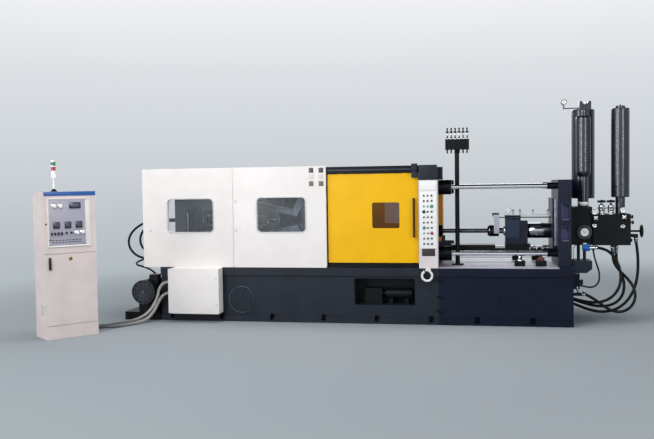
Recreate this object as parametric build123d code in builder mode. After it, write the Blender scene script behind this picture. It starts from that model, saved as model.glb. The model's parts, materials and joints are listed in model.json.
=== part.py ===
from math import atan2, cos, degrees, pi, radians, sin, tan
import os

from build123d import *

os.makedirs("parts", exist_ok=True)

# Base frames: X runs along the machine, Y away from its front, Z up from the floor
clamp_length = 3490
clamp_unit = clamp_length / 349
clamp_end = -clamp_length
injection_length = 1539
half_width = 690
base_height = 675
wall_setback = 25
ledge_depth = 98
foot_height = 70
anchor_pitch = 65 * clamp_unit
anchor_first = -9 * clamp_unit
anchor_count = 6
shot_anchor_first = 448
shot_anchor_pitch = 634
anchor_pocket = (60, 100, 90)
anchor_plate = 25
anchor_hole = 24
access_x = (-101.3 * clamp_unit, -28.2 * clamp_unit)
access_z = (223, 546)
access_depth = 300
access_corner = 20
recess_block_x = (-90 * clamp_unit, -69 * clamp_unit)
recess_motor_x = (-64 * clamp_unit, -33 * clamp_unit)
recess_feet = (-58 * clamp_unit, -39 * clamp_unit)
recess_motor_radius = 70
recess_shaft_radius = 28
recess_depth = (180, 170, 50)
recess_block_height = 190
recess_foot = 20
recess_axis = 120
manhole_x = -243.2 * clamp_unit
manhole_z = 273
manhole_radius = 165
manhole_thickness = 14
terminal_x = (clamp_end + 191, -267.1 * clamp_unit)
terminal_z = (110, 675)
terminal_depth = 160
sheet_corner = 12
joint_plate = (-20, 60, 12, 36)
joint_heights = (168, 334, 525)
seam_x = 709
seam_size = 5
tray_plate = 5
tray_rim = 10
tray_end = 1380

# Clamp: three platens on four tie bars
axis_height = 1231
tie_radius = 55
tie_y = 400
tie_z = 402
platen_half = 540
platen_chamfer = 60
shoe_y = (260, 480)
bracket = (
    ((-7 * clamp_unit, 137), (-260, -180), (877, 951)),
    ((20, 166), (-240, -200), (951, 975)),
    ((20, 60), (-240, -200), (975, 1038)),
)
tail_x = (-334 * clamp_unit, -320 * clamp_unit)
moving_x = (-168 * clamp_unit, -140 * clamp_unit)
fixed_x = (-32 * clamp_unit, -7 * clamp_unit)
bore_fit = 0.3
running_fit = 1
rod_fit = 0.5
nut_radius = 90
nut_end = 147
tie_end = 120
tail_nut = 120

# Toggle: long rear links, short front links, crosshead on guide rods
link_width = 84
link_thick = 60
link_y = 200
cheek_thick = 30
cheek_gap = 1
rear_pin = (-311 * clamp_unit, 376)
knee_pin = (-183 * clamp_unit, 95)
front_pin = (moving_x[0] - 45, 330)
pin_radius = 32
cross_x = (-221.5 * clamp_unit, -205.5 * clamp_unit)
cross_pin = (-213.5 * clamp_unit, 60)
cross_half = 150
spine_half = 95
spine_thick = 30
lever_x = -240 * clamp_unit
guide_z = 110
guide_radius = 26
closing_rod_radius = 50
closing_cylinder_radius = 130
closing_cylinder_end = tail_x[0] - 120
closing_cap = 30
closing_flange = (45, 35)
closing_rim = 20

# Sheet-metal guards, sliding doors and their rails, the same on front and rear
guard_x = (clamp_end - 220, -252.2 * clamp_unit, -251.8 * clamp_unit, -134.5 * clamp_unit)
guard_top = 1910
guard_depth = 40
guard_skin = 5
guard_flange = 45
guard_window_left = (guard_x[0] + 334, guard_x[1] - 259, 1114, 1526)
guard_window_right = (guard_x[2] + 305, guard_x[3] - 258, 1111, 1532)
window_radius = 50
pane_thick = 6
door_x = (-133 * clamp_unit, -235)
door_z = (734, 1806)
door_gap = 10
door_thick = 36
door_window = (-79 * clamp_unit, -46 * clamp_unit, 1150, 1460)
door_window_radius = 25
rail_z = (1812, 1897)
rail_width = 83
rail_wall = 8
rail_left = -230 * clamp_unit
roller_radius = 22
roller_length = 30
roller_pin = (6, 8)
hanger_inset = 150
hanger_half = (40, 6)
hanger_slot = 4
door_corner = 8
handle_inset = 30
handle_x = -285
handle_z = (1040, 1510)
handle_radius = 14
handle_standoff = 42
track_top = 722

# Operator panel at the front and the plain corner panel at the rear
panel_x = (-229, -2)
panel_depth = 130
panel_top = 1722
panel_corner = 10
head_x = (-218, -13)
head_top = 1897
button_radius = 11
button_pitch = (46, 63.5)
button_centre = (-120, 1251)
button_length = 16
hook_radius = 14
hook_ring = 59
hook_centre = (-132, 588)
hook_gap = 60
hook_reach = 30
hook_stem_length = 50
hook_stem = ((-104, 638), (-97, 618))
hook_plate = ((-150, -90), (645, 672))

# Injection unit
shot_height = 1080
shot_rod_radius = 28
shot_rod_x = (-30, 574)
coupling_radius = 71.5
coupling_x = (574, 713)
coupling_nose = 18
piston_rod_radius = 35
piston_radius = 64.5
piston_x = (1400, 1460)
sleeve_radius = 55
sleeve_bore = 31
collar_radius = 75
collar_end = 23
sleeve_start = fixed_x[0] - 10
rod_radius = 28
frame_x = (1385, 1539)
frame_half = 480
frame_top = 1702
frame_step_z = 1531
frame_step = 12
frame_pocket_x = (1427, 1510)
frame_pocket_z = ((1227, 1415), (980, 1145))
frame_pocket_depth = 90
rod_nut_radius = 40
rod_nut_length = 120
barrel_radius = 92.5
barrel_bore = 65
flange_x = (974, 1056)
flange_half = 130
flange_top = 1209
barrel_bottom = 39
front_block_x = (789, 974)
front_block_half = 120
front_block_z = (923, 1275)
rear_flange_x = (1335, 1385)
rear_flange_half = 300
rear_flange_top = 1480
beam_z = (836, 910)
beam_step_x = 668
beam_low_top = 870
beam_half = 120
beam_foot_x = (787, 1090)
arm_x = (655, 713)
arm_y = (-162, -150)
arm_top = 1304
arm_half = 25
arm_root = -40
stroke_rod_z = 1250
stroke_rod_radius = 7
stroke_rod_end = 1330
stroke_guide = ((860, 900), 178, 16)
switch_x = (881, 964, 1118, 1295)
switch_rail_y = (-172, -100)
switch_rail_thick = 12
dog_y = (-168, -132)
dog_half = 16
dog_height = 38
jack_x = (949, 1194)
jack_foot = (60, 50, 60)
jack_screw = 18

# Spray manifold on its post
post_x = 213
post_y = -300
post_radius = 27
post_foot = (70, 60, 14)
manifold_x = (75, 360)
manifold_z = (2086, 2213)
manifold_depth = 100
manifold_valves = 6
barb_offset = 38
barb = (9, 45)
needle = (8, 2350)
needle_bar = (7, 20, 2300)

# Accumulators and valve blocks behind the end frame
stack_x = (1539, 1810)
stack_y = (-160, 330)
stack_z = (911, 1370)
block_x = (1810, 2243)
block_y = (-200, 150)
block_z = (910, 1282)
stack_chamfer = 10
dial_z = 1067
dial_radius = 85
dial_depth = 30
shut_off = ((1690, 1770), 80, (845, 925))
connector_radius = 22
needle_valve_x = (1922, 2028)
needle_valve_y = -110
needle_valve_steps = ((32, 1282, 1390), (12, 1390, 1420), (48, 1420, 1443))
side_fitting = (20, 78)
front_bottle = (1716, -60, 86)
front_bottle_z = (1722, 2468)
front_neck = (48, 2532)
rear_bottle = (1741, 170, 136.5)
rear_neck = (66, 2582)
right_bottle = (2149, -20, 106)
right_neck = (56, 2578)
bottle_bottom = 1481
bottle_top = 2548
bottle_offset = 14
domed_ends = (0.9, 0.4)
flat_ends = (0.1, 0.1)
neck_ring = (55, 1385, 1430)
neck_guard_x = (1667, 1804)
neck_guard_top = 2642
neck_guard_notch = 36
gauge_x = 1489
gauge_pipe_z = 2563
gauge_centre_z = 2640
gauge_radius = 36
lower_block_y = (-420, -120)
lower_block_outline = [
    (injection_length, 660),
    (1582, 742),
    (1775, 742),
    (1775, 646),
    (1712, 600),
    (injection_length, 600),
]
lower_block_posts = (1650, 1720)
lower_post = (-140, 19)
wheel_radius = 78
wheel_x = 2398
wheel_z = 1068
wheel_tube = 11
wheel_hub = 20
wheel_spoke = 7
wheel_shaft = 12

# Control cabinet, standing turned towards the front left
cabinet_corner = (clamp_end - 745, -2134)
cabinet_turn = 50.5
cabinet_width = 600
cabinet_depth = 330
cabinet_height = 1607
cabinet_band = 43
plinth_height = 147
cabinet_door_top = 957
cabinet_door_thick = 20
cabinet_door_gap = 5
cabinet_wall = 20
instrument_x = (45, 500)
instrument_z = (1075, 1560)
instrument_depth = 15
instrument_relief = (6, 10, 4)
meter_x = (120, 250, 380)
meter_half = 38
meter_z = 1250
knob_places = ((95, 1510), (165, 1510), (345, 1215), (420, 1215))
knob_radius = 26
display = ((265, 400), (1465, 1535))
cabinet_frame = (40, 45)
door_gap_side = 3
door_handle = ((42, 66), 14, (780, 915))
lamp_place = (185, 165)
lamp_steps = ((22, 1650, 1670), (9, 1670, 1803), (26, 1803, 1885), (25, 1885, 2006))

# Hoses, conduits and their ports
conduit_radius = 19
hose_radius = 17
drain_radius = 10
port_hose_radius = 15
pump_hose_radius = 12
gland_length = 30
gland_wall = 6
ferrule_wall = 3
gland_z = 45
connector_end = 1865
connector_y = -200
connector_z = 881
nipple_x = 1816
nipple_z = 845
ferrule_x = (2040, 2091)
ferrule_y = (-170, -100)
ferrule_z = 809
side_port_x = 2318
side_port_y = -100
side_port_z = 942
elbow_end = 1700
elbow_z = 346
elbow_y = -400
elbow_wall = 2
elbow_length = 45
drain_valve = ((-360, -240), (400, 577))
drain_nipple = (4, 40)
drain_end = 1665
drain_z = 440
port_block_x = (clamp_end, clamp_end + 110)
port_block_y = (-310, 60)
port_block_top = 790
port_z = 735
cylinder_port_x = clamp_end - 205
pump_port_z = 470

# Pump set
motor_x = clamp_end - 173
motor_z = 372
motor_radius = 130
motor_y = (-850, -450)
skid_x = (clamp_end - 490, clamp_end - 10)
skid_y = (-700, -150)
skid_height = 100
fan_cover = (80, 20)
end_flange = (25, 25)
motor_foot = (115, 50)
motor_box = ((25, 135), (-700, -590), (60, 205))
pump_radius = 85
pump_length = 215
pump_foot = (60, (80, 200))
pump_port = (5, 50)


def save(part, label):
    part.label = label
    export_step(part, f"parts/{label}.step")


def block(x, y, z, mode=Mode.ADD):
    with Locations(((x[0] + x[1]) / 2, (y[0] + y[1]) / 2, (z[0] + z[1]) / 2)):
        Box(x[1] - x[0], y[1] - y[0], z[1] - z[0], mode=mode)


def rect(x, y, radius=0, mode=Mode.ADD):
    with Locations(((x[0] + x[1]) / 2, (y[0] + y[1]) / 2)):
        if radius:
            RectangleRounded(x[1] - x[0], y[1] - y[0], radius, mode=mode)
        else:
            Rectangle(x[1] - x[0], y[1] - y[0], mode=mode)


def rod(x, y, z, radius, mode=Mode.ADD):
    # A round bar along X
    with Locations(Location(((x[0] + x[1]) / 2, y, z), (0, 90, 0))):
        Cylinder(radius, x[1] - x[0], mode=mode)


def post(x, y, z, radius, mode=Mode.ADD):
    # A round bar along Z
    with Locations((x, y, (z[0] + z[1]) / 2)):
        Cylinder(radius, z[1] - z[0], mode=mode)


def stub(x, y, z, radius, mode=Mode.ADD):
    # A round bar along Y
    with Locations(Location((x, (y[0] + y[1]) / 2, z), (90, 0, 0))):
        Cylinder(radius, y[1] - y[0], mode=mode)


def gland(route, radius, length):
    # A round fitting that ends square on the first point of a route
    with Locations(Plane(origin=route[0], z_dir=Vector(*route[0]) - Vector(*route[1])).location):
        Cylinder(radius, length, align=(Align.CENTER, Align.CENTER, Align.MIN))


def tube(points, radius, name):
    # A hose as straight runs joined by the widest arcs that its runs allow
    vectors = [Vector(*point) for point in points]
    radii = []
    for before, corner, after in zip(vectors, vectors[1:], vectors[2:]):
        turn = radians((corner - before).get_angle(after - corner))
        shorter = min((corner - before).length, (after - corner).length)
        radii.append(0.45 * shorter / tan(turn / 2))
    with BuildPart() as hose:
        with BuildLine() as path:
            FilletPolyline(*vectors, radius=radii)
        with BuildSketch(Plane(origin=vectors[0], z_dir=vectors[1] - vectors[0])):
            Circle(radius)
        sweep()
    length = path.wire().length
    share = hose.part.volume / (pi * radius**2 * length)
    print(f"{name} length {length:.0f}, smallest radius {min(radii):.0f}, volume share {share:.4f}")
    save(hose.part, name)


wall_half = half_width - wall_setback
anchor_x = [anchor_first - anchor_pitch * k for k in range(anchor_count)]
shot_anchor_x = [shot_anchor_first, shot_anchor_first + shot_anchor_pitch]
anchor_y = half_width - anchor_pocket[2] / 2
tie_places = [(y, axis_height + z) for y in (-tie_y, tie_y) for z in (-tie_z, tie_z)]


gland_box_x = terminal_x[0] - gland_length
end_gland_x = injection_length + gland_length
cabinet_angle = radians(cabinet_turn)
cabinet_run = (cos(cabinet_angle), sin(cabinet_angle), 0)
cabinet_plane = Plane(origin=(*cabinet_corner, 0), x_dir=cabinet_run, z_dir=(0, 0, 1))


def cabinet_gland(depth):
    return cabinet_plane.from_local_coords(Vector(cabinet_width + gland_length, depth, gland_z))


def from_clamp_end(*points):
    # Route points whose X is counted from the far end of the clamp base
    return [(clamp_end + x, y, z) for x, y, z in points]


# Hose and conduit routes, from port to port
conduit_upper = [
    (gland_box_x, -770, 495),
    *from_clamp_end(
        (105, -770, 492),
        (51, -774, 463),
        (17, -782, 410),
        (2, -792, 348),
        (-18, -806, 268),
        (-55, -834, 184),
        (-112, -874, 108),
        (-196, -930, 54),
        (-296, -1008, 27),
        (-382, -1115, 21),
        (-437, -1232, 22),
        (-471, -1338, 32),
        (-508, -1438, 45),
    ),
    cabinet_gland(260),
]
conduit_lower = [
    (gland_box_x, -770, 362),
    *from_clamp_end(
        (93, -770, 349),
        (39, -776, 306),
        (4, -786, 245),
        (-28, -808, 168),
        (-60, -850, 100),
        (-98, -918, 48),
        (-148, -1010, 24),
        (-214, -1118, 20),
        (-286, -1235, 20),
        (-352, -1350, 26),
        (-413, -1449, 42),
    ),
    cabinet_gland(180),
]
hose_front = [
    (connector_end, connector_y, connector_z),
    (1945, -212, 868),
    (2018, -232, 815),
    (2072, -255, 735),
    (2106, -270, 642),
    (2118, -282, 545),
    (2105, -290, 445),
    (2060, -297, 352),
    (1985, -302, 282),
    (1888, -305, 243),
    (1782, -305, 236),
    (1675, -302, 254),
    (end_gland_x, -300, 281),
]
hose_middle = [
    (ferrule_x[1], ferrule_y[1], ferrule_z),
    (2093, -102, 735),
    (2110, -110, 655),
    (2145, -125, 570),
    (2172, -140, 480),
    (2175, -155, 385),
    (2147, -170, 297),
    (2086, -182, 228),
    (2000, -192, 187),
    (1900, -200, 177),
    (1795, -206, 190),
    (1682, -209, 222),
    (end_gland_x, -210, 262),
]
hose_looped = [
    (ferrule_x[0], ferrule_y[0], ferrule_z),
    (2044, -172, 735),
    (2074, -180, 662),
    (2128, -196, 592),
    (2194, -220, 524),
    (2250, -250, 448),
    (2280, -284, 357),
    (2266, -318, 260),
    (2206, -348, 180),
    (2115, -370, 139),
    (2015, -386, 148),
    (1928, -395, 194),
    (1846, -400, 258),
    (1769, -401, 313),
    (elbow_end, elbow_y, elbow_z),
]
hose_outer = [
    (side_port_x, side_port_y, side_port_z),
    (2330, -100, 862),
    (2338, -102, 765),
    (2340, -105, 665),
    (2335, -108, 565),
    (2320, -112, 465),
    (2290, -117, 368),
    (2243, -120, 275),
    (2174, -120, 192),
    (2086, -118, 132),
    (1986, -115, 101),
    (1880, -112, 99),
    (1776, -110, 122),
    (1674, -109, 160),
    (end_gland_x, -110, 205),
]
drain_hose = [
    (nipple_x, connector_y, nipple_z),
    (1822, -213, 783),
    (1838, -238, 718),
    (1858, -268, 652),
    (1872, -295, 582),
    (1870, -315, 512),
    (1844, -328, 456),
    (1796, -333, 424),
    (1732, -332, 422),
    (drain_end, -330, drain_z),
]
clamp_hose_front = [
    (cylinder_port_x, -60, 1240),
    *from_clamp_end(
        (-310, -74, 1238),
        (-420, -98, 1222),
        (-522, -130, 1175),
        (-606, -160, 1102),
        (-653, -190, 1008),
        (-644, -215, 908),
        (-586, -235, 824),
        (-498, -248, 767),
        (-395, -256, 741),
        (-285, -259, 734),
        (-145, -260, 736),
    ),
    (clamp_end - gland_length, -260, port_z),
]
clamp_hose_rear = [
    (cylinder_port_x, 60, 1225),
    *from_clamp_end(
        (-310, 50, 1222),
        (-415, 35, 1195),
        (-504, 14, 1135),
        (-558, -12, 1048),
        (-562, -42, 953),
        (-514, -72, 868),
        (-429, -96, 805),
        (-324, -113, 766),
        (-215, -124, 746),
        (-110, -129, 737),
    ),
    (clamp_end - gland_length, -130, port_z),
]
pump_hose = [
    (clamp_end - gland_length, 20, port_z),
    *from_clamp_end(
        (-110, 20, 738),
        (-222, 14, 741),
        (-335, -4, 738),
        (-440, -42, 726),
        (-518, -108, 705),
        (-547, -195, 680),
        (-513, -277, 660),
        (-432, -322, 646),
        (-336, -334, 625),
        (-251, -333, 578),
        (-196, -326, 515),
    ),
    (motor_x, -320, pump_port_z),
]


# Welded base frames

def base_frame(x, anchors):
    with BuildPart() as frame:
        with BuildSketch(Plane.YZ.offset(x[0])):
            rect((-half_width, half_width), (base_height - ledge_depth, base_height))
            rect((-wall_half, wall_half), (0, base_height - ledge_depth))
            rect((-half_width, half_width), (0, foot_height))
        extrude(amount=x[1] - x[0])
        for anchor in anchors:
            side = (anchor - anchor_pocket[0] / 2, anchor + anchor_pocket[0] / 2)
            for sign in (-1, 1):
                depth = sorted((sign * half_width, sign * (half_width - anchor_pocket[2])))
                block(side, depth, (anchor_plate, anchor_pocket[1]), mode=Mode.SUBTRACT)
                post(anchor, sign * anchor_y, (0, anchor_plate), anchor_hole / 2, mode=Mode.SUBTRACT)
    return frame.part


with BuildPart() as clamp_base:
    add(base_frame((clamp_end, 0), anchor_x))
    with BuildSketch(Plane.XZ.offset(wall_half)):
        rect(access_x, access_z, access_corner)
    extrude(amount=-access_depth, mode=Mode.SUBTRACT)
    block(port_block_x, port_block_y, (base_height, port_block_top))
    for route in (clamp_hose_front[::-1], clamp_hose_rear[::-1], pump_hose):
        gland(route, port_hose_radius + gland_wall, 2 * gland_length)
save(clamp_base.part, "clamp_base")

with BuildPart() as injection_base:
    add(base_frame((0, injection_length), shot_anchor_x))
    for sign in (-1, 1):
        face = sorted((sign * wall_half, sign * (wall_half - seam_size)))
        block((seam_x, seam_x + seam_size), face, (foot_height, base_height - ledge_depth), Mode.SUBTRACT)
        face = sorted((sign * wall_half, sign * (wall_half + joint_plate[2])))
        for height in joint_heights:
            block(joint_plate[0:2], face, (height - joint_plate[3] / 2, height + joint_plate[3] / 2))
    # Hose glands, elbow and drain valve on the end face
    for route in (hose_front, hose_middle, hose_outer):
        gland(route[::-1], hose_radius + gland_wall, 2 * gland_length)
    rod((injection_length, elbow_end - elbow_length), elbow_y, elbow_z, hose_radius + elbow_wall)
    gland(hose_looped[::-1], hose_radius + elbow_wall, elbow_length)
    block((injection_length, drain_end - 25), *drain_valve)
    gland(drain_hose[::-1], drain_radius + drain_nipple[0], drain_nipple[1])
save(injection_base.part, "injection_base")

with BuildPart() as drip_tray:
    with BuildSketch(Plane.XY.offset(base_height)):
        rect((0, tray_end), (-half_width, half_width))
    extrude(amount=tray_rim)
    with BuildSketch(Plane.XY.offset(base_height + tray_plate)):
        rect((tray_plate, tray_end - tray_plate), (tray_plate - half_width, half_width - tray_plate))
    extrude(amount=tray_rim, mode=Mode.SUBTRACT)
save(drip_tray.part, "drip_tray")

with BuildPart() as manhole_cover:
    stub(manhole_x, (-wall_half - manhole_thickness, -wall_half), manhole_z, manhole_radius)
save(manhole_cover.part, "manhole_cover")

back = -wall_half + access_depth
with BuildPart() as base_hydraulics:
    block(recess_block_x, (back - recess_depth[0], back), (access_z[0], access_z[0] + recess_block_height))
    motor_line = (back - sum(recess_depth[1:]) / 2, access_z[0] + recess_axis)
    rod(recess_motor_x, *motor_line, recess_motor_radius)
    rod((recess_block_x[1], recess_motor_x[0]), *motor_line, recess_shaft_radius)
    foot_depth = (back - recess_depth[1], back - recess_depth[2])
    for x in recess_feet:
        block((x - recess_foot, x + recess_foot), foot_depth, (access_z[0], access_z[0] + recess_motor_radius))
save(base_hydraulics.part, "base_hydraulics")

with BuildPart() as terminal_box:
    with BuildSketch(Plane.XZ.offset(half_width)):
        rect(terminal_x, terminal_z, sheet_corner)
    extrude(amount=terminal_depth)
    for route in (conduit_upper, conduit_lower):
        gland(route, conduit_radius + gland_wall, 2 * gland_length)
save(terminal_box.part, "terminal_box")


# Platens, tie bars and nuts

def platen(x):
    with BuildPart() as plate:
        with BuildSketch(Plane.YZ.offset(x[0])) as outline:
            with Locations((0, axis_height)):
                Rectangle(2 * platen_half, 2 * platen_half)
            chamfer(outline.vertices(), platen_chamfer)
            for sign in (-1, 1):
                shoe = sorted((sign * shoe_y[0], sign * shoe_y[1]))
                rect(shoe, (base_height, axis_height - platen_half))
            with Locations(*tie_places):
                Circle(tie_radius + bore_fit, mode=Mode.SUBTRACT)
        extrude(amount=x[1] - x[0])
    return plate.part


def fork(face, pin):
    # Pairs of cheeks on a platen face, above and below the axis
    for sign in (-1, 1):
        height = axis_height + sign * pin[1]
        for y in (-link_y, link_y):
            for side in (-1, 1):
                inner = y + side * (link_thick / 2 + cheek_gap)
                depth = sorted((inner, inner + side * cheek_thick))
                block(sorted((face, pin[0])), depth, (height - link_width / 2, height + link_width / 2))
                stub(pin[0], depth, height, link_width / 2)
                stub(pin[0], depth, height, pin_radius + bore_fit, mode=Mode.SUBTRACT)


def tongue(face, pin):
    # Single lugs that stand between two link plates
    for sign in (-1, 1):
        height = axis_height + sign * pin[1]
        for y in (-link_y, link_y):
            depth = (y - link_thick / 2, y + link_thick / 2)
            block(sorted((face, pin[0])), depth, (height - link_width / 2, height + link_width / 2))
            stub(pin[0], depth, height, link_width / 2)
            stub(pin[0], depth, height, pin_radius + bore_fit, mode=Mode.SUBTRACT)


def links(first, second, depths, holes):
    # Flat links with round ends between two pins, mirrored above and below the axis
    run = Vector(second[0] - first[0], second[1] - first[1])
    middle = ((first[0] + second[0]) / 2, (first[1] + second[1]) / 2)
    turn = degrees(atan2(run.Y, run.X))
    with BuildPart() as pair:
        for depth in depths:
            for sign in (-1, 1):
                with BuildSketch(Plane.XZ.offset(-depth[1])):
                    with Locations(Location((middle[0], axis_height + sign * middle[1]), sign * turn)):
                        SlotCenterToCenter(run.length, link_width)
                    with Locations(*[(x, axis_height + sign * z) for x, z in holes]):
                        Circle(pin_radius + bore_fit, mode=Mode.SUBTRACT)
                extrude(amount=depth[1] - depth[0])
    return pair.part


lever_share = (lever_x - rear_pin[0]) / (knee_pin[0] - rear_pin[0])
lever_pin = (lever_x, rear_pin[1] + lever_share * (knee_pin[1] - rear_pin[1]))
middle_depths = [(y - link_thick / 2, y + link_thick / 2) for y in (-link_y, link_y)]
outer = link_thick / 2 + cheek_gap + cheek_thick
side_depths = [
    tuple(sorted((y + side * (link_thick / 2 + cheek_gap), y + side * outer)))
    for y in (-link_y, link_y)
    for side in (-1, 1)
]

with BuildPart() as tail_platen:
    add(platen(tail_x))
    rod(tail_x, 0, axis_height, closing_rod_radius + running_fit, mode=Mode.SUBTRACT)
    fork(tail_x[1], rear_pin)
save(tail_platen.part, "tail_platen")

with BuildPart() as moving_platen:
    add(platen(moving_x))
    tongue(moving_x[0], front_pin)
save(moving_platen.part, "moving_platen")

with BuildPart() as fixed_platen:
    add(platen(fixed_x))
    rod(fixed_x, 0, shot_height, sleeve_radius + bore_fit, mode=Mode.SUBTRACT)
    # Bracket with an upright arm beside the sleeve
    for x, y, z in bracket:
        block((x[0], x[1]), y, z)
save(fixed_platen.part, "fixed_platen")

with BuildPart() as tie_bars:
    for y, z in tie_places:
        rod((tail_x[0] - tail_nut, tie_end), y, z, tie_radius)
save(tie_bars.part, "tie_bars")

with BuildPart() as tie_bar_nuts:
    for y, z in tie_places:
        rod((fixed_x[1], nut_end), y, z, nut_radius)
        rod((fixed_x[1], tie_end), y, z, tie_radius + bore_fit, mode=Mode.SUBTRACT)
        rod((tie_end, nut_end), y, z, rod_radius + bore_fit, mode=Mode.SUBTRACT)
        rod((tail_x[0] - tail_nut, tail_x[0]), y, z, nut_radius)
        rod((tail_x[0] - tail_nut, tail_x[0]), y, z, tie_radius + bore_fit, mode=Mode.SUBTRACT)
        rod((frame_x[0] - rod_nut_length, frame_x[0]), y, z, rod_nut_radius)
        rod((frame_x[0] - rod_nut_length, frame_x[0]), y, z, rod_radius + bore_fit, mode=Mode.SUBTRACT)
save(tie_bar_nuts.part, "tie_bar_nuts")

rear_links = links(rear_pin, knee_pin, middle_depths, (rear_pin, lever_pin, knee_pin))
front_links = links(knee_pin, front_pin, side_depths, (knee_pin, front_pin))
lever_links = links(lever_pin, cross_pin, side_depths, (lever_pin, cross_pin))
with BuildPart() as toggle_links:
    add(rear_links)
    add(front_links)
    add(lever_links)
    for pin in (rear_pin, knee_pin, front_pin, lever_pin, cross_pin):
        for sign in (-1, 1):
            for y in (-link_y, link_y):
                stub(pin[0], (y - outer, y + outer), axis_height + sign * pin[1], pin_radius)
save(toggle_links.part, "toggle_links")

with BuildPart() as crosshead:
    middle_half = link_y - outer - cheek_gap
    block(cross_x, (-middle_half, middle_half), (axis_height - cross_half, axis_height + cross_half))
    spine = (cross_x[1] - spine_thick, cross_x[1])
    block(spine, (-link_y - link_thick / 2, link_y + link_thick / 2), (axis_height - spine_half, axis_height + spine_half))
    tongue(spine[0], cross_pin)
    for z in (-guide_z, guide_z):
        rod(cross_x, 0, axis_height + z, guide_radius + running_fit, mode=Mode.SUBTRACT)
save(crosshead.part, "crosshead")

with BuildPart() as closing_cylinder:
    rod((closing_cylinder_end, tail_x[0]), 0, axis_height, closing_cylinder_radius)
    rod((tail_x[0] - closing_flange[0], tail_x[0]), 0, axis_height, closing_cylinder_radius + closing_flange[1])
    cap_x = (closing_cylinder_end - closing_cap, closing_cylinder_end)
    rod(cap_x, 0, axis_height, closing_cylinder_radius + closing_rim)
    rod((tail_x[0], cross_x[0]), 0, axis_height, closing_rod_radius)
    for z in (-guide_z, guide_z):
        rod((tail_x[1], knee_pin[0] - link_width), 0, axis_height + z, guide_radius)
    # Port pipes out to the two hoses
    for route in (clamp_hose_front, clamp_hose_rear):
        gland(route, port_hose_radius + gland_wall, closing_cylinder_end - cylinder_port_x)
save(closing_cylinder.part, "closing_cylinder")


# Guards, doors and rails, made for the front and mirrored for the rear

def guard_panel(x, window):
    with BuildPart() as panel:
        with BuildSketch(Plane.XZ.offset(half_width)):
            rect(x, (base_height, guard_top), sheet_corner)
            rect(window[0:2], window[2:4], window_radius, mode=Mode.SUBTRACT)
        extrude(amount=-guard_depth)
        with BuildSketch(Plane.XZ.offset(half_width - guard_skin)):
            rect((x[0] + guard_flange, x[1] - guard_flange), (base_height + guard_flange, guard_top - guard_flange))
            rect(
                (window[0] - guard_flange, window[1] + guard_flange),
                (window[2] - guard_flange, window[3] + guard_flange),
                window_radius,
                mode=Mode.SUBTRACT,
            )
        extrude(amount=-guard_depth, mode=Mode.SUBTRACT)
    return panel.part


def pane(window, radius, face):
    with BuildPart() as sheet:
        with BuildSketch(Plane.XZ.offset(face)):
            rect(window[0:2], window[2:4], radius)
        extrude(amount=-pane_thick)
    return sheet.part


door_face = half_width - guard_depth - door_gap
door_middle = -door_face + door_thick / 2
rail_front = guard_depth - half_width
rail_back = rail_front + rail_width
hanger_x = (door_x[0] + hanger_inset, door_x[1] - hanger_inset)
lip_top = rail_z[0] + rail_wall
hanger = (door_middle - hanger_half[1], door_middle + hanger_half[1])
roller_z = lip_top + roller_radius + bore_fit


def door():
    with BuildPart() as leaf:
        with BuildSketch(Plane.XZ.offset(door_face)):
            rect(door_x, door_z, door_corner)
            rect(door_window[0:2], door_window[2:4], door_window_radius, mode=Mode.SUBTRACT)
        extrude(amount=-door_thick)
        with BuildSketch(Plane.XZ.offset(door_face - guard_skin)):
            rect((door_x[0] + guard_flange, door_x[1] - guard_flange), (door_z[0] + guard_flange, door_z[1] - guard_flange))
            rect(
                (door_window[0] - guard_flange, door_window[1] + guard_flange),
                (door_window[2] - guard_flange, door_window[3] + guard_flange),
                door_window_radius,
                mode=Mode.SUBTRACT,
            )
        extrude(amount=-door_thick, mode=Mode.SUBTRACT)
        # Hanger plates with rollers that run on the rail's lip
        for x in hanger_x:
            block((x - hanger_half[0], x + hanger_half[0]), hanger, (door_z[1] - 10, roller_z + roller_radius - 6))
            pin_end = hanger[1] + roller_pin[0]
            stub(x, (hanger[1], pin_end), roller_z, roller_pin[1])
            stub(x, (pin_end, pin_end + roller_length), roller_z, roller_radius)
        # Upright pull handle on two stand-offs
        post(handle_x, -door_face - handle_standoff, handle_z, handle_radius)
        for z in (handle_z[0] + handle_inset, handle_z[1] - handle_inset):
            stub(handle_x, (-door_face - handle_standoff, -door_face), z, handle_radius - 3)
    return leaf.part


def rail():
    with BuildPart() as channel:
        with BuildSketch(Plane.YZ.offset(rail_left)):
            rect((rail_front, rail_back), rail_z)
            rect((rail_front + rail_wall, rail_back - rail_wall), (lip_top, rail_z[1] - rail_wall), mode=Mode.SUBTRACT)
            rect((hanger[0] - hanger_slot, hanger[1] + hanger_slot), (rail_z[0], lip_top), mode=Mode.SUBTRACT)
        extrude(amount=head_x[0] - rail_left)
        block((rail_left - rail_wall, rail_left), (rail_front, rail_back), rail_z)
        # Bottom track on the base and the head box over the operator panel
        block((rail_left, panel_x[0]), (-door_face, -door_face + door_thick), (base_height, track_top))
        block(head_x, (-half_width, -half_width + panel_depth), (panel_top, head_top))
    return channel.part


def corner_panel():
    with BuildPart() as panel:
        with BuildSketch(Plane.XY.offset(base_height)):
            rect(panel_x, (-half_width, -half_width + panel_depth), panel_corner)
        extrude(amount=panel_top - base_height)
    return panel.part


def rear(part):
    return mirror(part, about=Plane.XZ)


def both(name, first, second):
    with BuildPart() as pair:
        add(first)
        add(second)
    save(pair.part, name)


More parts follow.
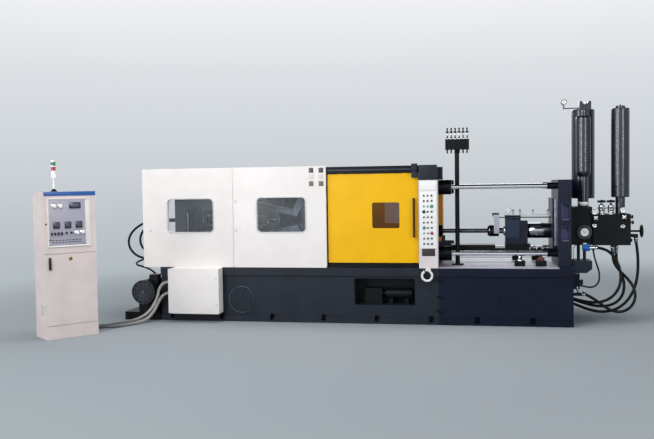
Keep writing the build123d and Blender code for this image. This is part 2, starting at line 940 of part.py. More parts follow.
left = guard_panel(guard_x[0:2], guard_window_left)
right = guard_panel(guard_x[2:4], guard_window_right)
both("front_guards", left, right)
both("rear_guards", rear(left), rear(right))
front_panes = pane(guard_window_left, window_radius, half_width - pane_thick)
front_panes += pane(guard_window_right, window_radius, half_width - pane_thick)
both("guard_panes", front_panes, rear(front_panes))
both("door_rails", rail(), rear(rail()))
door_pane = pane(door_window, door_window_radius, door_face - pane_thick)
save(rear(door_pane), "rear_door_pane")
save(door_pane, "front_door_pane")
save(rear(door()), "rear_door")
save(door(), "front_door")
save(rear(corner_panel()), "rear_corner_panel")
save(corner_panel(), "operator_panel")

with BuildPart() as operator_buttons:
    with BuildSketch(Plane.XZ.offset(half_width)):
        with Locations(button_centre):
            with GridLocations(button_pitch[0], button_pitch[1], 3, 10):
                Circle(button_radius)
    extrude(amount=button_length)
save(operator_buttons.part, "operator_buttons")

hook_y = -half_width - hook_reach
with BuildPart() as panel_hook:
    tip = radians(hook_gap)
    section = Plane(
        origin=(hook_centre[0], hook_y, hook_centre[1]),
        x_dir=(cos(tip), 0, sin(tip)),
        z_dir=(-sin(tip), 0, cos(tip)),
    )
    with BuildSketch(section):
        with Locations((hook_ring, 0)):
            Circle(hook_radius)
    revolve(axis=Axis(section.origin, (0, 1, 0)), revolution_arc=360 - hook_gap)
    gland([(x, hook_y, z) for x, z in hook_stem], hook_radius, hook_stem_length)
    block(hook_plate[0], (hook_y - hook_radius, -half_width), hook_plate[1])
save(panel_hook.part, "panel_hook")


# Injection unit on the tray

with BuildPart() as injection_frame:
    with BuildSketch(Plane.YZ.offset(frame_x[0])):
        rect((frame_step - frame_half, frame_half - frame_step), (base_height, frame_step_z))
        rect((-frame_half, frame_half), (frame_step_z, frame_top))
        with Locations(*tie_places):
            Circle(rod_radius + bore_fit, mode=Mode.SUBTRACT)
        with Locations((0, shot_height)):
            Circle(barrel_radius + bore_fit, mode=Mode.SUBTRACT)
    extrude(amount=frame_x[1] - frame_x[0])
    for sign in (-1, 1):
        face = sorted((sign * (frame_half - frame_step), sign * (frame_half - frame_pocket_depth)))
        for height in frame_pocket_z:
            block(frame_pocket_x, face, height, mode=Mode.SUBTRACT)
save(injection_frame.part, "injection_frame")

with BuildPart() as injection_tie_rods:
    for y, z in tie_places:
        rod((tie_end, frame_x[1]), y, z, rod_radius)
save(injection_tie_rods.part, "injection_tie_rods")

with BuildPart() as support_beam:
    block((fixed_x[1], beam_step_x), (-beam_half, beam_half), beam_z)
    block((beam_step_x, frame_x[0]), (-beam_half, beam_half), (beam_z[0], beam_low_top))
    block(beam_foot_x, (-beam_half, beam_half), (beam_low_top, front_block_z[0]))
save(support_beam.part, "support_beam")

with BuildPart() as cylinder_rear_flange:
    with BuildSketch(Plane.YZ.offset(rear_flange_x[0])):
        rect((-rear_flange_half, rear_flange_half), (beam_low_top, rear_flange_top), 20)
        with Locations((0, shot_height)):
            Circle(barrel_radius + bore_fit, mode=Mode.SUBTRACT)
    extrude(amount=rear_flange_x[1] - rear_flange_x[0])
save(cylinder_rear_flange.part, "cylinder_rear_flange")

with BuildPart() as injection_cylinder:
    block(flange_x, (-flange_half, flange_half), (front_block_z[0], flange_top))
    rod((flange_x[1], frame_x[1]), 0, shot_height, barrel_radius)
    rod((flange_x[0], frame_x[1] - barrel_bottom), 0, shot_height, barrel_bore, mode=Mode.SUBTRACT)
    block(front_block_x, (-front_block_half, front_block_half), front_block_z)
    guide_height = (stroke_rod_z - stroke_guide[2], stroke_rod_z + stroke_guide[2])
    block(stroke_guide[0], (-stroke_guide[1], -front_block_half), guide_height)
    rod(front_block_x, 0, shot_height, piston_rod_radius + rod_fit, mode=Mode.SUBTRACT)
    rod(stroke_guide[0], sum(arm_y) / 2, stroke_rod_z, stroke_rod_radius + rod_fit, mode=Mode.SUBTRACT)
save(injection_cylinder.part, "injection_cylinder")

with BuildPart() as rod_coupling:
    rod(coupling_x, 0, shot_height, coupling_radius)
    chamfer(rod_coupling.edges().filter_by(GeomType.CIRCLE).sort_by(Axis.X)[0], coupling_nose)
    block(arm_x, (arm_y[1], arm_root), (shot_height - arm_half, shot_height + arm_half))
    block(arm_x, arm_y, (shot_height - arm_half, arm_top))
save(rod_coupling.part, "rod_coupling")

with BuildPart() as shot_rods:
    rod(shot_rod_x, 0, shot_height, shot_rod_radius)
    rod((coupling_x[1], piston_x[1]), 0, shot_height, piston_rod_radius)
    rod(piston_x, 0, shot_height, piston_radius)
    rod((arm_x[1], stroke_rod_end), sum(arm_y) / 2, stroke_rod_z, stroke_rod_radius)
save(shot_rods.part, "shot_rods")

with BuildPart() as shot_sleeve:
    rod((sleeve_start, collar_end), 0, shot_height, sleeve_radius)
    rod((fixed_x[1], collar_end), 0, shot_height, collar_radius)
    rod((sleeve_start, collar_end), 0, shot_height, sleeve_bore, mode=Mode.SUBTRACT)
save(shot_sleeve.part, "shot_sleeve")

rail_bottom = front_block_z[1]
with BuildPart() as switch_rail:
    rail_top = rail_bottom + switch_rail_thick
    block((front_block_x[0], rear_flange_x[0]), switch_rail_y, (rail_bottom, rail_top))
    for x in switch_x:
        block((x - dog_half, x + dog_half), dog_y, (rail_top, rail_top + dog_height))
save(switch_rail.part, "switch_rail")

jack_top = axis_height - tie_z - rod_radius
with BuildPart() as screw_jacks:
    for x in jack_x:
        for y in (-tie_y, tie_y):
            floor = base_height + tray_plate
            block((x - jack_foot[0], x + jack_foot[0]), (y - jack_foot[1], y + jack_foot[1]), (floor, floor + jack_foot[2]))
            post(x, y, (floor + jack_foot[2], jack_top - bore_fit), jack_screw)
save(screw_jacks.part, "screw_jacks")


# Spray manifold

floor = base_height + tray_plate
with BuildPart() as manifold_post:
    post(post_x, post_y, (floor, manifold_z[0]), post_radius)
    foot_x = (post_x - post_foot[0], post_x + post_foot[0])
    block(foot_x, (post_y - post_foot[1], post_y + post_foot[1]), (floor, floor + post_foot[2]))
save(manifold_post.part, "manifold_post")

pitch = (manifold_x[1] - manifold_x[0]) / manifold_valves
valve_x = [manifold_x[0] + pitch * (k + 0.5) for k in range(manifold_valves)]
with BuildPart() as spray_manifold:
    block(manifold_x, (post_y - manifold_depth / 2, post_y + manifold_depth / 2), manifold_z)
    for x in valve_x:
        post(x, post_y - barb_offset, (manifold_z[0] - barb[1], manifold_z[0]), barb[0])
        post(x, post_y, (manifold_z[1], needle[1]), needle[0])
        rod((x - needle_bar[1], x + needle_bar[1]), post_y, needle_bar[2], needle_bar[0])
save(spray_manifold.part, "spray_manifold")


# Accumulators and valve blocks

def bottle(place, height, ends, neck, neck_bottom):
    # A pressure bottle with rounded edges, a neck below and a boss on top
    x, y, radius = place
    with BuildPart() as vessel:
        post(x, y, height, radius)
        fillet(vessel.edges().filter_by(GeomType.CIRCLE).sort_by(Axis.Z)[-1], radius * ends[1])
        fillet(vessel.edges().filter_by(GeomType.CIRCLE).sort_by(Axis.Z)[0], radius * ends[0])
        post(x, y, (neck_bottom, sum(height) / 2), neck[0])
        post(x, y, (sum(height) / 2, neck[1]), neck[0])
    return vessel.part


with BuildPart() as gas_bottle:
    add(bottle(front_bottle, front_bottle_z, domed_ends, front_neck, stack_z[1]))
    post(front_bottle[0], front_bottle[1], neck_ring[1:], neck_ring[0])
    # Guard with a round notch over the filling valve, and a gauge on its thin pipe
    depth = (front_bottle[1] - 45, front_bottle[1] + 45)
    block(neck_guard_x, depth, (front_neck[1], neck_guard_top))
    stub(sum(neck_guard_x) / 2, depth, neck_guard_top, neck_guard_notch, mode=Mode.SUBTRACT)
    rod((gauge_x, neck_guard_x[0]), front_bottle[1], gauge_pipe_z, 6)
    post(gauge_x, front_bottle[1], (gauge_pipe_z - 8, gauge_centre_z - gauge_radius + 6), 8)
    stub(gauge_x, (front_bottle[1] - 25, front_bottle[1] + 10), gauge_centre_z, gauge_radius)
save(gas_bottle.part, "gas_bottle")
rear_height = (bottle_bottom - bottle_offset, bottle_top + bottle_offset)
both(
    "accumulators",
    bottle(rear_bottle, rear_height, flat_ends, rear_neck, stack_z[1]),
    bottle(right_bottle, (bottle_bottom, bottle_top), flat_ends, right_neck, block_z[1]),
)

with BuildPart() as shot_valve_stack:
    block(stack_x, stack_y, stack_z)
    chamfer(shot_valve_stack.edges().filter_by(Axis.Z), stack_chamfer)
    stub(front_bottle[0], (stack_y[0] - dial_depth, stack_y[0]), dial_z, dial_radius)
    # Shut-off valve with its connector under the stack's front edge
    block(shut_off[0], (stack_y[0] - shut_off[1], stack_y[0]), shut_off[2])
    rod((shut_off[0][1], connector_end - connector_radius), connector_y, connector_z, connector_radius)
    gland(hose_front, connector_radius, gland_length)
    gland(drain_hose, drain_radius + ferrule_wall, gland_length)
save(shot_valve_stack.part, "shot_valve_stack")

with BuildPart() as valve_block:
    block(block_x, block_y, block_z)
    chamfer(valve_block.edges().filter_by(Axis.Z), stack_chamfer)
    for x in needle_valve_x:
        for radius, *height in needle_valve_steps:
            post(x, needle_valve_y, height, radius)
    for route in (hose_looped, hose_middle):
        gland(route, hose_radius + ferrule_wall, block_z[0] - ferrule_z + 15)
    fitting_z = side_port_z + side_fitting[1]
    rod((block_x[1], side_port_x + side_fitting[0]), side_port_y, fitting_z, side_fitting[0])
    gland(hose_outer, hose_radius + ferrule_wall, side_fitting[1] + 2)
save(valve_block.part, "valve_block")

with BuildPart() as handwheel:
    with BuildSketch(Plane.XZ):
        with Locations((wheel_x, wheel_z + wheel_radius - wheel_tube)):
            Circle(wheel_tube)
    revolve(axis=Axis((wheel_x, 0, wheel_z), (1, 0, 0)))
    rod((wheel_x - wheel_hub, wheel_x + wheel_hub), 0, wheel_z, wheel_hub)
    with Locations((wheel_x, 0, wheel_z)):
        for angle in range(0, 360, 120):
            Cylinder(
                wheel_spoke,
                wheel_radius - wheel_tube,
                rotation=(angle, 0, 0),
                align=(Align.CENTER, Align.CENTER, Align.MIN),
            )
    rod((block_x[1] + bore_fit, wheel_x), 0, wheel_z, wheel_shaft)
save(handwheel.part, "handwheel")

with BuildPart() as lower_valve_block:
    with BuildSketch(Plane.XZ.offset(-lower_block_y[0])):
        with BuildLine():
            Polyline(*lower_block_outline, close=True)
        make_face()
    extrude(amount=lower_block_y[0] - lower_block_y[1])
    for x in lower_block_posts:
        post(x, lower_post[0], (lower_block_outline[1][1], stack_z[0]), lower_post[1])
save(lower_valve_block.part, "lower_valve_block")


# Control cabinet, modelled square and then turned into its place

def in_place(part):
    return cabinet_plane.location * part


door_front = cabinet_door_thick + bore_fit
with BuildPart() as cabinet_body:
    with BuildSketch(Plane.YZ):
        rect((0, cabinet_depth), (0, plinth_height))
        rect((door_front, cabinet_depth), (plinth_height, cabinet_door_top))
        rect((0, cabinet_depth), (cabinet_door_top, cabinet_height))
    extrude(amount=cabinet_width)
    block(
        (cabinet_frame[0], cabinet_width - cabinet_frame[0]),
        (door_front, cabinet_depth - cabinet_wall),
        (plinth_height + cabinet_frame[1], cabinet_door_top - cabinet_frame[1]),
        mode=Mode.SUBTRACT,
    )
    block(instrument_x, (0, instrument_depth), instrument_z, mode=Mode.SUBTRACT)
    block((0, cabinet_width), (0, cabinet_depth), (cabinet_height, cabinet_height + cabinet_band))
    for route in (conduit_upper, conduit_lower):
        inner = [cabinet_plane.to_local_coords(Vector(*point)) for point in route[:-3:-1]]
        gland(inner, conduit_radius + gland_wall, 2 * gland_length)
save(in_place(cabinet_body.part), "cabinet_body")

with BuildPart() as cabinet_door:
    door_height = (plinth_height + cabinet_door_gap, cabinet_door_top - cabinet_door_gap)
    block((door_gap_side, cabinet_width - door_gap_side), (0, cabinet_door_thick), door_height)
    block(door_handle[0], (-door_handle[1], 0), door_handle[2])
save(in_place(cabinet_door.part), "cabinet_door")

with BuildPart() as instruments:
    for x in meter_x:
        depth = (-instrument_relief[0], instrument_depth)
        block((x - meter_half, x + meter_half), depth, (meter_z, meter_z + 2 * meter_half))
    for x, z in knob_places:
        stub(x, (-instrument_relief[1], instrument_depth), z, knob_radius)
    block(display[0], (-instrument_relief[2], instrument_depth), display[1])
save(in_place(instruments.part), "cabinet_instruments")

with BuildPart() as signal_lamp:
    for radius, *height in lamp_steps:
        post(*lamp_place, height, radius)
save(in_place(signal_lamp.part), "signal_lamp")


# Pump set beside the clamp base

with BuildPart() as motor_skid:
    block(skid_x, skid_y, (0, skid_height))
save(motor_skid.part, "motor_skid")

with BuildPart() as pump_set:
    cover_end = motor_y[0] + fan_cover[0]
    flange_end = motor_y[1] + end_flange[0]
    stub(motor_x, (cover_end, motor_y[1]), motor_z, motor_radius)
    stub(motor_x, (motor_y[0], cover_end), motor_z, motor_radius + fan_cover[1])
    stub(motor_x, (motor_y[1], flange_end), motor_z, motor_radius + end_flange[1])
    stub(motor_x, (flange_end, flange_end + pump_length), motor_z, pump_radius)
    foot = (motor_x - motor_foot[0], motor_x + motor_foot[0])
    block(foot, (cover_end + motor_foot[1], motor_y[1] - motor_foot[1]), (skid_height, motor_z))
    foot = (motor_x - pump_foot[0], motor_x + pump_foot[0])
    block(foot, [motor_y[1] + y for y in pump_foot[1]], (skid_height, motor_z))
    block([motor_x + x for x in motor_box[0]], motor_box[1], [motor_z + z for z in motor_box[2]])
    gland(pump_hose[::-1], pump_hose_radius + pump_port[0], pump_port[1])
save(pump_set.part, "pump_set")


# Hoses and conduits

tube(conduit_upper, conduit_radius, "conduit_upper")
tube(conduit_lower, conduit_radius, "conduit_lower")
tube(hose_front, hose_radius, "hose_front")
tube(hose_middle, hose_radius, "hose_middle")
tube(hose_looped, hose_radius, "hose_looped")
tube(hose_outer, hose_radius, "hose_outer")
tube(drain_hose, drain_radius, "drain_hose")
tube(clamp_hose_front, port_hose_radius, "clamp_hose_front")
tube(clamp_hose_rear, port_hose_radius, "clamp_hose_rear")
tube(pump_hose, pump_hose_radius, "pump_hose")
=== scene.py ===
import bpy, bmesh, json, math
from mathutils import Matrix, Vector

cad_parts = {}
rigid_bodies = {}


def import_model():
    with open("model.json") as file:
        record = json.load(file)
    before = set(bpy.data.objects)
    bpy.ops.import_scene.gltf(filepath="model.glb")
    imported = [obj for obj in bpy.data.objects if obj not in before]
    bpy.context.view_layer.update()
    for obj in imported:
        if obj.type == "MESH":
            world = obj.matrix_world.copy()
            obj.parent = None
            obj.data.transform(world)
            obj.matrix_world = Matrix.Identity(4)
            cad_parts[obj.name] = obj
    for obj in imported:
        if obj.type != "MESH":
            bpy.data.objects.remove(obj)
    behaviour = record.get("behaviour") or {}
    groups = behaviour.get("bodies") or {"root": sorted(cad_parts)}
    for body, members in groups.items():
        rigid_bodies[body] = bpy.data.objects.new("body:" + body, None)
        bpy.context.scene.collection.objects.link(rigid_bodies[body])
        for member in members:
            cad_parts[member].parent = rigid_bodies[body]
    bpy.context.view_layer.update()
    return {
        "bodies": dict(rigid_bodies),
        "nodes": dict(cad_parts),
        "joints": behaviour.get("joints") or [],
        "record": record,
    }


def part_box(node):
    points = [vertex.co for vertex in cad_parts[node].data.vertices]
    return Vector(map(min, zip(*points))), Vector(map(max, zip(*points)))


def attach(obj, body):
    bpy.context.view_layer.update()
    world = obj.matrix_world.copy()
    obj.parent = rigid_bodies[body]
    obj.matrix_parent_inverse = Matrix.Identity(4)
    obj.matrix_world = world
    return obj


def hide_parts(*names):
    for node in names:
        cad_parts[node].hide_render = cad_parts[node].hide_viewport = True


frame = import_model()
nodes = frame["nodes"]
print("frame loaded:", len(nodes), "nodes")


def linear(hexColour):
    # sRGB hex to the linear values that the shader wants
    values = [int(hexColour[k:k + 2], 16) / 255 for k in (1, 3, 5)]
    return tuple(v / 12.92 if v <= 0.04045 else ((v + 0.055) / 1.055) ** 2.4 for v in values) + (1.0,)


# camera at the photograph's viewing angle
photoView = {
    "place": (0.523, -10.19, 1.681), "yaw": 11.06, "pitch": 2.48, "roll": -0.85,  # degrees left, down, round
    "focalPixels": 800, "photoWidth": 654, "sensor": 36.0, "farthest": 1000,
}


def setCamera(spec):
    yaw, pitch, roll = (math.radians(spec[k]) for k in ("yaw", "pitch", "roll"))
    ahead = Vector((-math.sin(yaw) * math.cos(pitch), math.cos(yaw) * math.cos(pitch), -math.sin(pitch)))
    level = Vector((math.cos(yaw), math.sin(yaw), 0))
    over = level.cross(ahead)
    right = level * math.cos(roll) + over * math.sin(roll)
    up = over * math.cos(roll) - level * math.sin(roll)
    data = bpy.data.cameras.new("photoCamera")
    data.sensor_width = spec["sensor"]
    data.lens = spec["focalPixels"] * spec["sensor"] / spec["photoWidth"]
    data.clip_end = spec["farthest"]
    camera = bpy.data.objects.new("photoCamera", data)
    bpy.context.scene.collection.objects.link(camera)
    turn = Matrix((right, up, -ahead)).transposed().to_4x4()
    camera.matrix_world = Matrix.Translation(spec["place"]) @ turn
    bpy.context.scene.camera = camera


setCamera(photoView)
print("camera set")


# finishes
def addNode(tree, kind, settings=None, links=None):
    # one node with its settings and incoming links
    node = tree.nodes.new(kind)
    for key, value in (settings or {}).items():
        if isinstance(key, str) and hasattr(node, key):
            setattr(node, key, value)
        else:
            node.inputs[key].default_value = value
    for key, source in (links or {}).items():
        tree.links.new(source, node.inputs[key])
    return node


def newFinish(name, base, roughness, metallic=0.0, settings=None):
    # bare principled material, with its place in millimetres ready for patterns
    material = bpy.data.materials.new(name)
    material.use_nodes = True
    tree = material.node_tree
    shader = tree.nodes["Principled BSDF"]
    shader.inputs["Base Color"].default_value = linear(base)
    shader.inputs["Roughness"].default_value = roughness
    shader.inputs["Metallic"].default_value = metallic
    for key, value in (settings or {}).items():
        shader.inputs[key].default_value = value
    place = addNode(tree, "ShaderNodeTexCoord").outputs["Object"]
    scaled = addNode(tree, "ShaderNodeVectorMath", {"operation": "SCALE", "Scale": 1000.0}, {0: place})
    return material, tree, shader, scaled.outputs[0]


def patternNoise(tree, place, size, detail=3.0, stretch=(1, 1, 1)):
    # noise whose blobs are about size millimetres across
    blob = [size * s for s in stretch]
    squeezed = addNode(tree, "ShaderNodeVectorMath", {"operation": "DIVIDE", 1: blob}, {0: place}).outputs[0]
    return addNode(tree, "ShaderNodeTexNoise", {"Scale": 1.0, "Detail": detail}, {"Vector": squeezed}).outputs[0]


def shadeRamp(tree, share, shades, steps="LINEAR"):
    # colours placed along a share from 0 to 1
    ramp = addNode(tree, "ShaderNodeValToRGB", links={"Fac": share})
    ramp.color_ramp.interpolation = steps
    while len(ramp.color_ramp.elements) < len(shades):
        ramp.color_ramp.elements.new(0.5)
    for element, (position, colour) in zip(ramp.color_ramp.elements, shades):
        element.position = position
    for element, (position, colour) in zip(ramp.color_ramp.elements, shades):
        element.color = linear(colour)
    return ramp.outputs["Color"]


def spread(tree, factor, low, high):
    return addNode(tree, "ShaderNodeMapRange", {"To Min": low, "To Max": high}, {"Value": factor}).outputs[0]


def bumped(tree, shader, height, depth, strength):
    # depth is the relief in metres
    bump = addNode(tree, "ShaderNodeBump", {"Distance": depth, "Strength": strength}, {"Height": height})
    tree.links.new(bump.outputs[0], shader.inputs["Normal"])


def overlaid(tree, mask, under, over):
    # the colour over laid on under where mask is 1
    mixed = addNode(tree, "ShaderNodeMix", {"data_type": "RGBA"}, {0: mask, 6: under})
    mixed.inputs[7].default_value = linear(over)
    return mixed.outputs[2]


def beyond(tree, place, axis, limit, bothWays=False):
    # 1 where the place along an axis is past limit millimetres
    along = addNode(tree, "ShaderNodeSeparateXYZ", links={0: place}).outputs[axis]
    if bothWays:
        along = addNode(tree, "ShaderNodeMath", {"operation": "ABSOLUTE"}, {0: along}).outputs[0]
    return addNode(tree, "ShaderNodeMath", {"operation": "GREATER_THAN", 1: limit}, {0: along}).outputs[0]


def sprayedEnamel(name, base, shade, roughness, coat=0.1, sheen=0.3, grime=None, trim=None, insideShade=None, relief=0.2):
    # sprayed machine enamel: a faint orange peel, soft clouding and, low down, pale scuffs and wiped-on grime
    # grime is its colour and top; trim is another colour past a distance from the centre plane
    # insideShade is painted shade: a darker colour on the faces that look at the centre plane, for the machine's shaded
    # inside
    material, tree, shader, place = newFinish(name, base, roughness, settings={
        "IOR": 1.5, "Coat Weight": coat, "Coat Roughness": 0.12, "Specular IOR Level": sheen})
    colour = shadeRamp(tree, patternNoise(tree, place, 260.0), ((0.3, shade), (0.6, base)))
    if grime:
        stain, top = grime
        height = addNode(tree, "ShaderNodeSeparateXYZ", links={0: place}).outputs["Z"]
        streaks = patternNoise(tree, place, 28.0, 8.0, (4, 4, 1))
        ragged = addNode(tree, "ShaderNodeMath", {"operation": "MULTIPLY_ADD", 1: 170.0}, {0: streaks, 2: height})
        fade = {"From Min": top, "From Max": top - 30}
        mask = addNode(tree, "ShaderNodeMapRange", fade, {"Value": ragged.outputs[0]}).outputs[0]
        colour = overlaid(tree, mask, colour, stain)
    if trim:
        colour = overlaid(tree, beyond(tree, place, "Y", trim[0], True), colour, trim[1])
    # painted shade: faces that look at the centre plane take a darker colour
    if insideShade:
        facing = addNode(tree, "ShaderNodeNewGeometry").outputs["True Normal"]
        across = addNode(tree, "ShaderNodeSeparateXYZ", links={0: facing}).outputs["Y"]
        depth = addNode(tree, "ShaderNodeSeparateXYZ", links={0: place}).outputs["Y"]
        inward = addNode(tree, "ShaderNodeMath", {"operation": "MULTIPLY"}, {0: across, 1: depth}).outputs[0]
        mask = addNode(tree, "ShaderNodeMath", {"operation": "LESS_THAN", 1: -300.0}, {0: inward}).outputs[0]
        colour = overlaid(tree, mask, colour, insideShade)
    tree.links.new(colour, shader.inputs["Base Color"])
    worn = spread(tree, patternNoise(tree, place, 35.0), roughness - 0.06, roughness + 0.08)
    tree.links.new(worn, shader.inputs["Roughness"])
    if relief:
        bumped(tree, shader, patternNoise(tree, place, 3.0, 2.0), 0.0001, relief)
    return material


def workedSteel(name, base, shade, roughness, stretch, grain=1.6):
    # turned, ground or milled steel: tool lines along one axis that smear its highlights
    material, tree, shader, place = newFinish(name, base, roughness, 1.0)
    lines = patternNoise(tree, place, grain, 4.0, stretch)
    colour = shadeRamp(tree, patternNoise(tree, place, 60.0), ((0.35, shade), (0.65, base)))
    tree.links.new(colour, shader.inputs["Base Color"])
    tree.links.new(spread(tree, lines, roughness - 0.07, roughness + 0.1), shader.inputs["Roughness"])
    bumped(tree, shader, lines, 0.00005, 0.12)
    return material


def hardChrome(name, base):
    # ground and chromed bars: mirror-like, with an oil film that dulls it in patches
    material, tree, shader, place = newFinish(name, base, 0.08, 1.0)
    film = patternNoise(tree, place, 45.0, 5.0, (6, 1, 1))
    tree.links.new(spread(tree, film, 0.04, 0.2), shader.inputs["Roughness"])
    return material


def oiledRubber(name, base, shade, sheen=0.4, far=None):
    # hydraulic hose cover: matt rubber with a wrapped cloth mark, shiny where oil has wet it
    # far is where a darker length ends and begins along X, and its colour
    material, tree, shader, place = newFinish(name, base, 0.45, settings={"IOR": 1.52, "Specular IOR Level": sheen})
    colour = shadeRamp(tree, patternNoise(tree, place, 25.0), ((0.35, shade), (0.65, base)))
    if far:
        along = addNode(tree, "ShaderNodeSeparateXYZ", links={0: place}).outputs["X"]
        mask = addNode(tree, "ShaderNodeMapRange", {"From Min": far[1], "From Max": far[0]}, {"Value": along})
        colour = overlaid(tree, mask.outputs[0], colour, far[2])
    tree.links.new(colour, shader.inputs["Base Color"])
    tree.links.new(spread(tree, patternNoise(tree, place, 70.0), 0.28, 0.5), shader.inputs["Roughness"])
    bumped(tree, shader, patternNoise(tree, place, 2.2, 2.0), 0.0003, 0.5)
    return material


def clearSheet(name, tint, alpha, roughness=0.05, shadeSheet=None):
    # clear plastic sheet with a tint; handling leaves faint smears
    # shadeSheet is painted shade: a darker, denser sheet on the rear, from a place along X rightwards
    material, tree, shader, place = newFinish(name, tint, roughness, settings={
        "IOR": 1.49, "Alpha": alpha, "Specular IOR Level": 0.3})
    # painted shade: the rear pane past the given X is darker and less clear
    if shadeSheet:
        behind, right = beyond(tree, place, "Y", 0.0), beyond(tree, place, "X", shadeSheet[0])
        mask = addNode(tree, "ShaderNodeMath", {"operation": "MULTIPLY"}, {0: behind, 1: right}).outputs[0]
        plain = addNode(tree, "ShaderNodeRGB").outputs[0]
        plain.default_value = linear(tint)
        tree.links.new(overlaid(tree, mask, plain, shadeSheet[1]), shader.inputs["Base Color"])
        tree.links.new(spread(tree, mask, alpha, 0.94), shader.inputs["Alpha"])
    smears = spread(tree, patternNoise(tree, place, 120.0, 4.0), roughness, roughness + 0.12)
    tree.links.new(smears, shader.inputs["Roughness"])
    return material


def bandedPlastic(name, bands, roughness=0.3):
    # moulded stack of coloured rings: each band starts at a height in millimetres
    material, tree, shader, place = newFinish(name, bands[0][1], roughness, settings={"IOR": 1.5, "Coat Weight": 0.3})
    height = addNode(tree, "ShaderNodeSeparateXYZ", links={0: place}).outputs["Z"]
    low, high = bands[0][0], bands[-1][0] + 1
    share = addNode(tree, "ShaderNodeMapRange", {"From Min": low, "From Max": high}, {"Value": height}).outputs[0]
    shades = [((start - low) / (high - low), colour) for start, colour in bands]
    tree.links.new(shadeRamp(tree, share, shades, "CONSTANT"), shader.inputs["Base Color"])
    worn = spread(tree, patternNoise(tree, place, 14.0), roughness - 0.05, roughness + 0.06)
    tree.links.new(worn, shader.inputs["Roughness"])
    bumped(tree, shader, patternNoise(tree, place, 1.0, 1.0), 0.00003, 0.08)
    return material


def mouldedPlastic(name, base, roughness):
    # injection-moulded cap or knob: smooth with a fine spark-eroded grain
    material, tree, shader, place = newFinish(name, base, roughness, settings={"IOR": 1.5})
    worn = spread(tree, patternNoise(tree, place, 12.0), roughness - 0.05, roughness + 0.07)
    tree.links.new(worn, shader.inputs["Roughness"])
    bumped(tree, shader, patternNoise(tree, place, 0.8, 1.0), 0.00003, 0.08)
    return material


# colour, its shade, roughness, then coat and sheen where they aren't the usual ones
enamels = {
    "guardWhite": ("#e9e4e2", "#e3dedc", 0.4, 0.05),
    "panelWhite": ("#d9d2d3", "#d2cbcc", 0.4, 0.05),
    "cabinetWhite": ("#dccfcd", "#d2c5c3", 0.42, 0.05),
    "doorYellow": ("#f0b800", "#eab200", 0.34, 0.05, 0.2),
    # rear corner panel: the doors' yellow with painted shade, darker and oranger
    "shadedCornerYellow": ("#ee9f36", "#e39430", 0.35, 0.05, 0.2),
    "baseNavy": ("#12182a", "#0e1424", 0.4, 0.0, 0.14),
    "baseSlate": ("#252a34", "#20252e", 0.4, 0.0, 0.14),
    "footBlack": ("#101318", "#0c0f13", 0.45, 0.0, 0.12),
    "blockNavy": ("#191c2e", "#141727", 0.36, 0.0, 0.2),
    "slateFace": ("#293549", "#242f42", 0.38, 0.0, 0.2),
    "headGrey": ("#272c35", "#22272f", 0.4, 0.0, 0.15),
    "tealBlock": ("#1a2431", "#151e2a", 0.4, 0.0, 0.2),
    "railBlack": ("#0f1115", "#0b0d10", 0.4, 0.0, 0.12),
    "stripSlate": ("#3c424f", "#343a46", 0.38, 0.0, 0.2),
    "bottleBlack": ("#141829", "#101322", 0.24, 0.0, 0.7),
    "manifoldBlack": ("#15171a", "#101214", 0.42, 0.0, 0.1),
    "motorBlack": ("#0f1115", "#0b0d10", 0.32, 0.0, 0.2),
    "platenSlate": ("#232a36", "#1d232e", 0.4, 0.0, 0.2),
    "hubSlate": ("#3c4554", "#323a48", 0.35, 0.15),
    "trayLilac": ("#a7a5b4", "#8b899a", 0.3),
    "bandBlue": ("#2f5fa6", "#2a5596", 0.3),
    "valveBlue": ("#1f5fae", "#1a5299", 0.22),
    # pocket floors: painted light inside the frame's pockets
    "litPocketLilac": ("#5d5e8c", "#51527e", 0.35),
    # manhole ring: a lighter colour as painted highlight on its bead
    "rimHighlight": ("#5d6675", "#2f3746", 0.35),
    "dialRing": ("#3a3e46", "#2f3239", 0.3),
    "brightWhite": ("#eceef0", "#e2e5e8", 0.25, 0.3),
    "grilleGrey": ("#565b66", "#434751", 0.35),
    "meterFace": ("#4c4f5b", "#41444f", 0.3),
    "ventGrey": ("#c8c5c4", "#bab6b5", 0.5),
    "panelLilac": ("#aaa7b6", "#a09dac", 0.4),
    "bezelCream": ("#e6e1dd", "#dfd9d5", 0.35),
    "primerRed": ("#6b3d31", "#563026", 0.5),
}
# insideShade is painted shade on the inner faces of the guards and the doors
enamelExtras = {
    "guardWhite": {"insideShade": "#2b303a"},
    "cabinetWhite": {"grime": ("#b9aeab", 75)},
    "doorYellow": {"trim": (643.0, "#3c0e08"), "insideShade": "#a87418"},
    "baseNavy": {"grime": ("#454b5c", 60)},
    "baseSlate": {"grime": ("#4a4f5a", 60)},
    "bottleBlack": {"relief": 0.0},
}
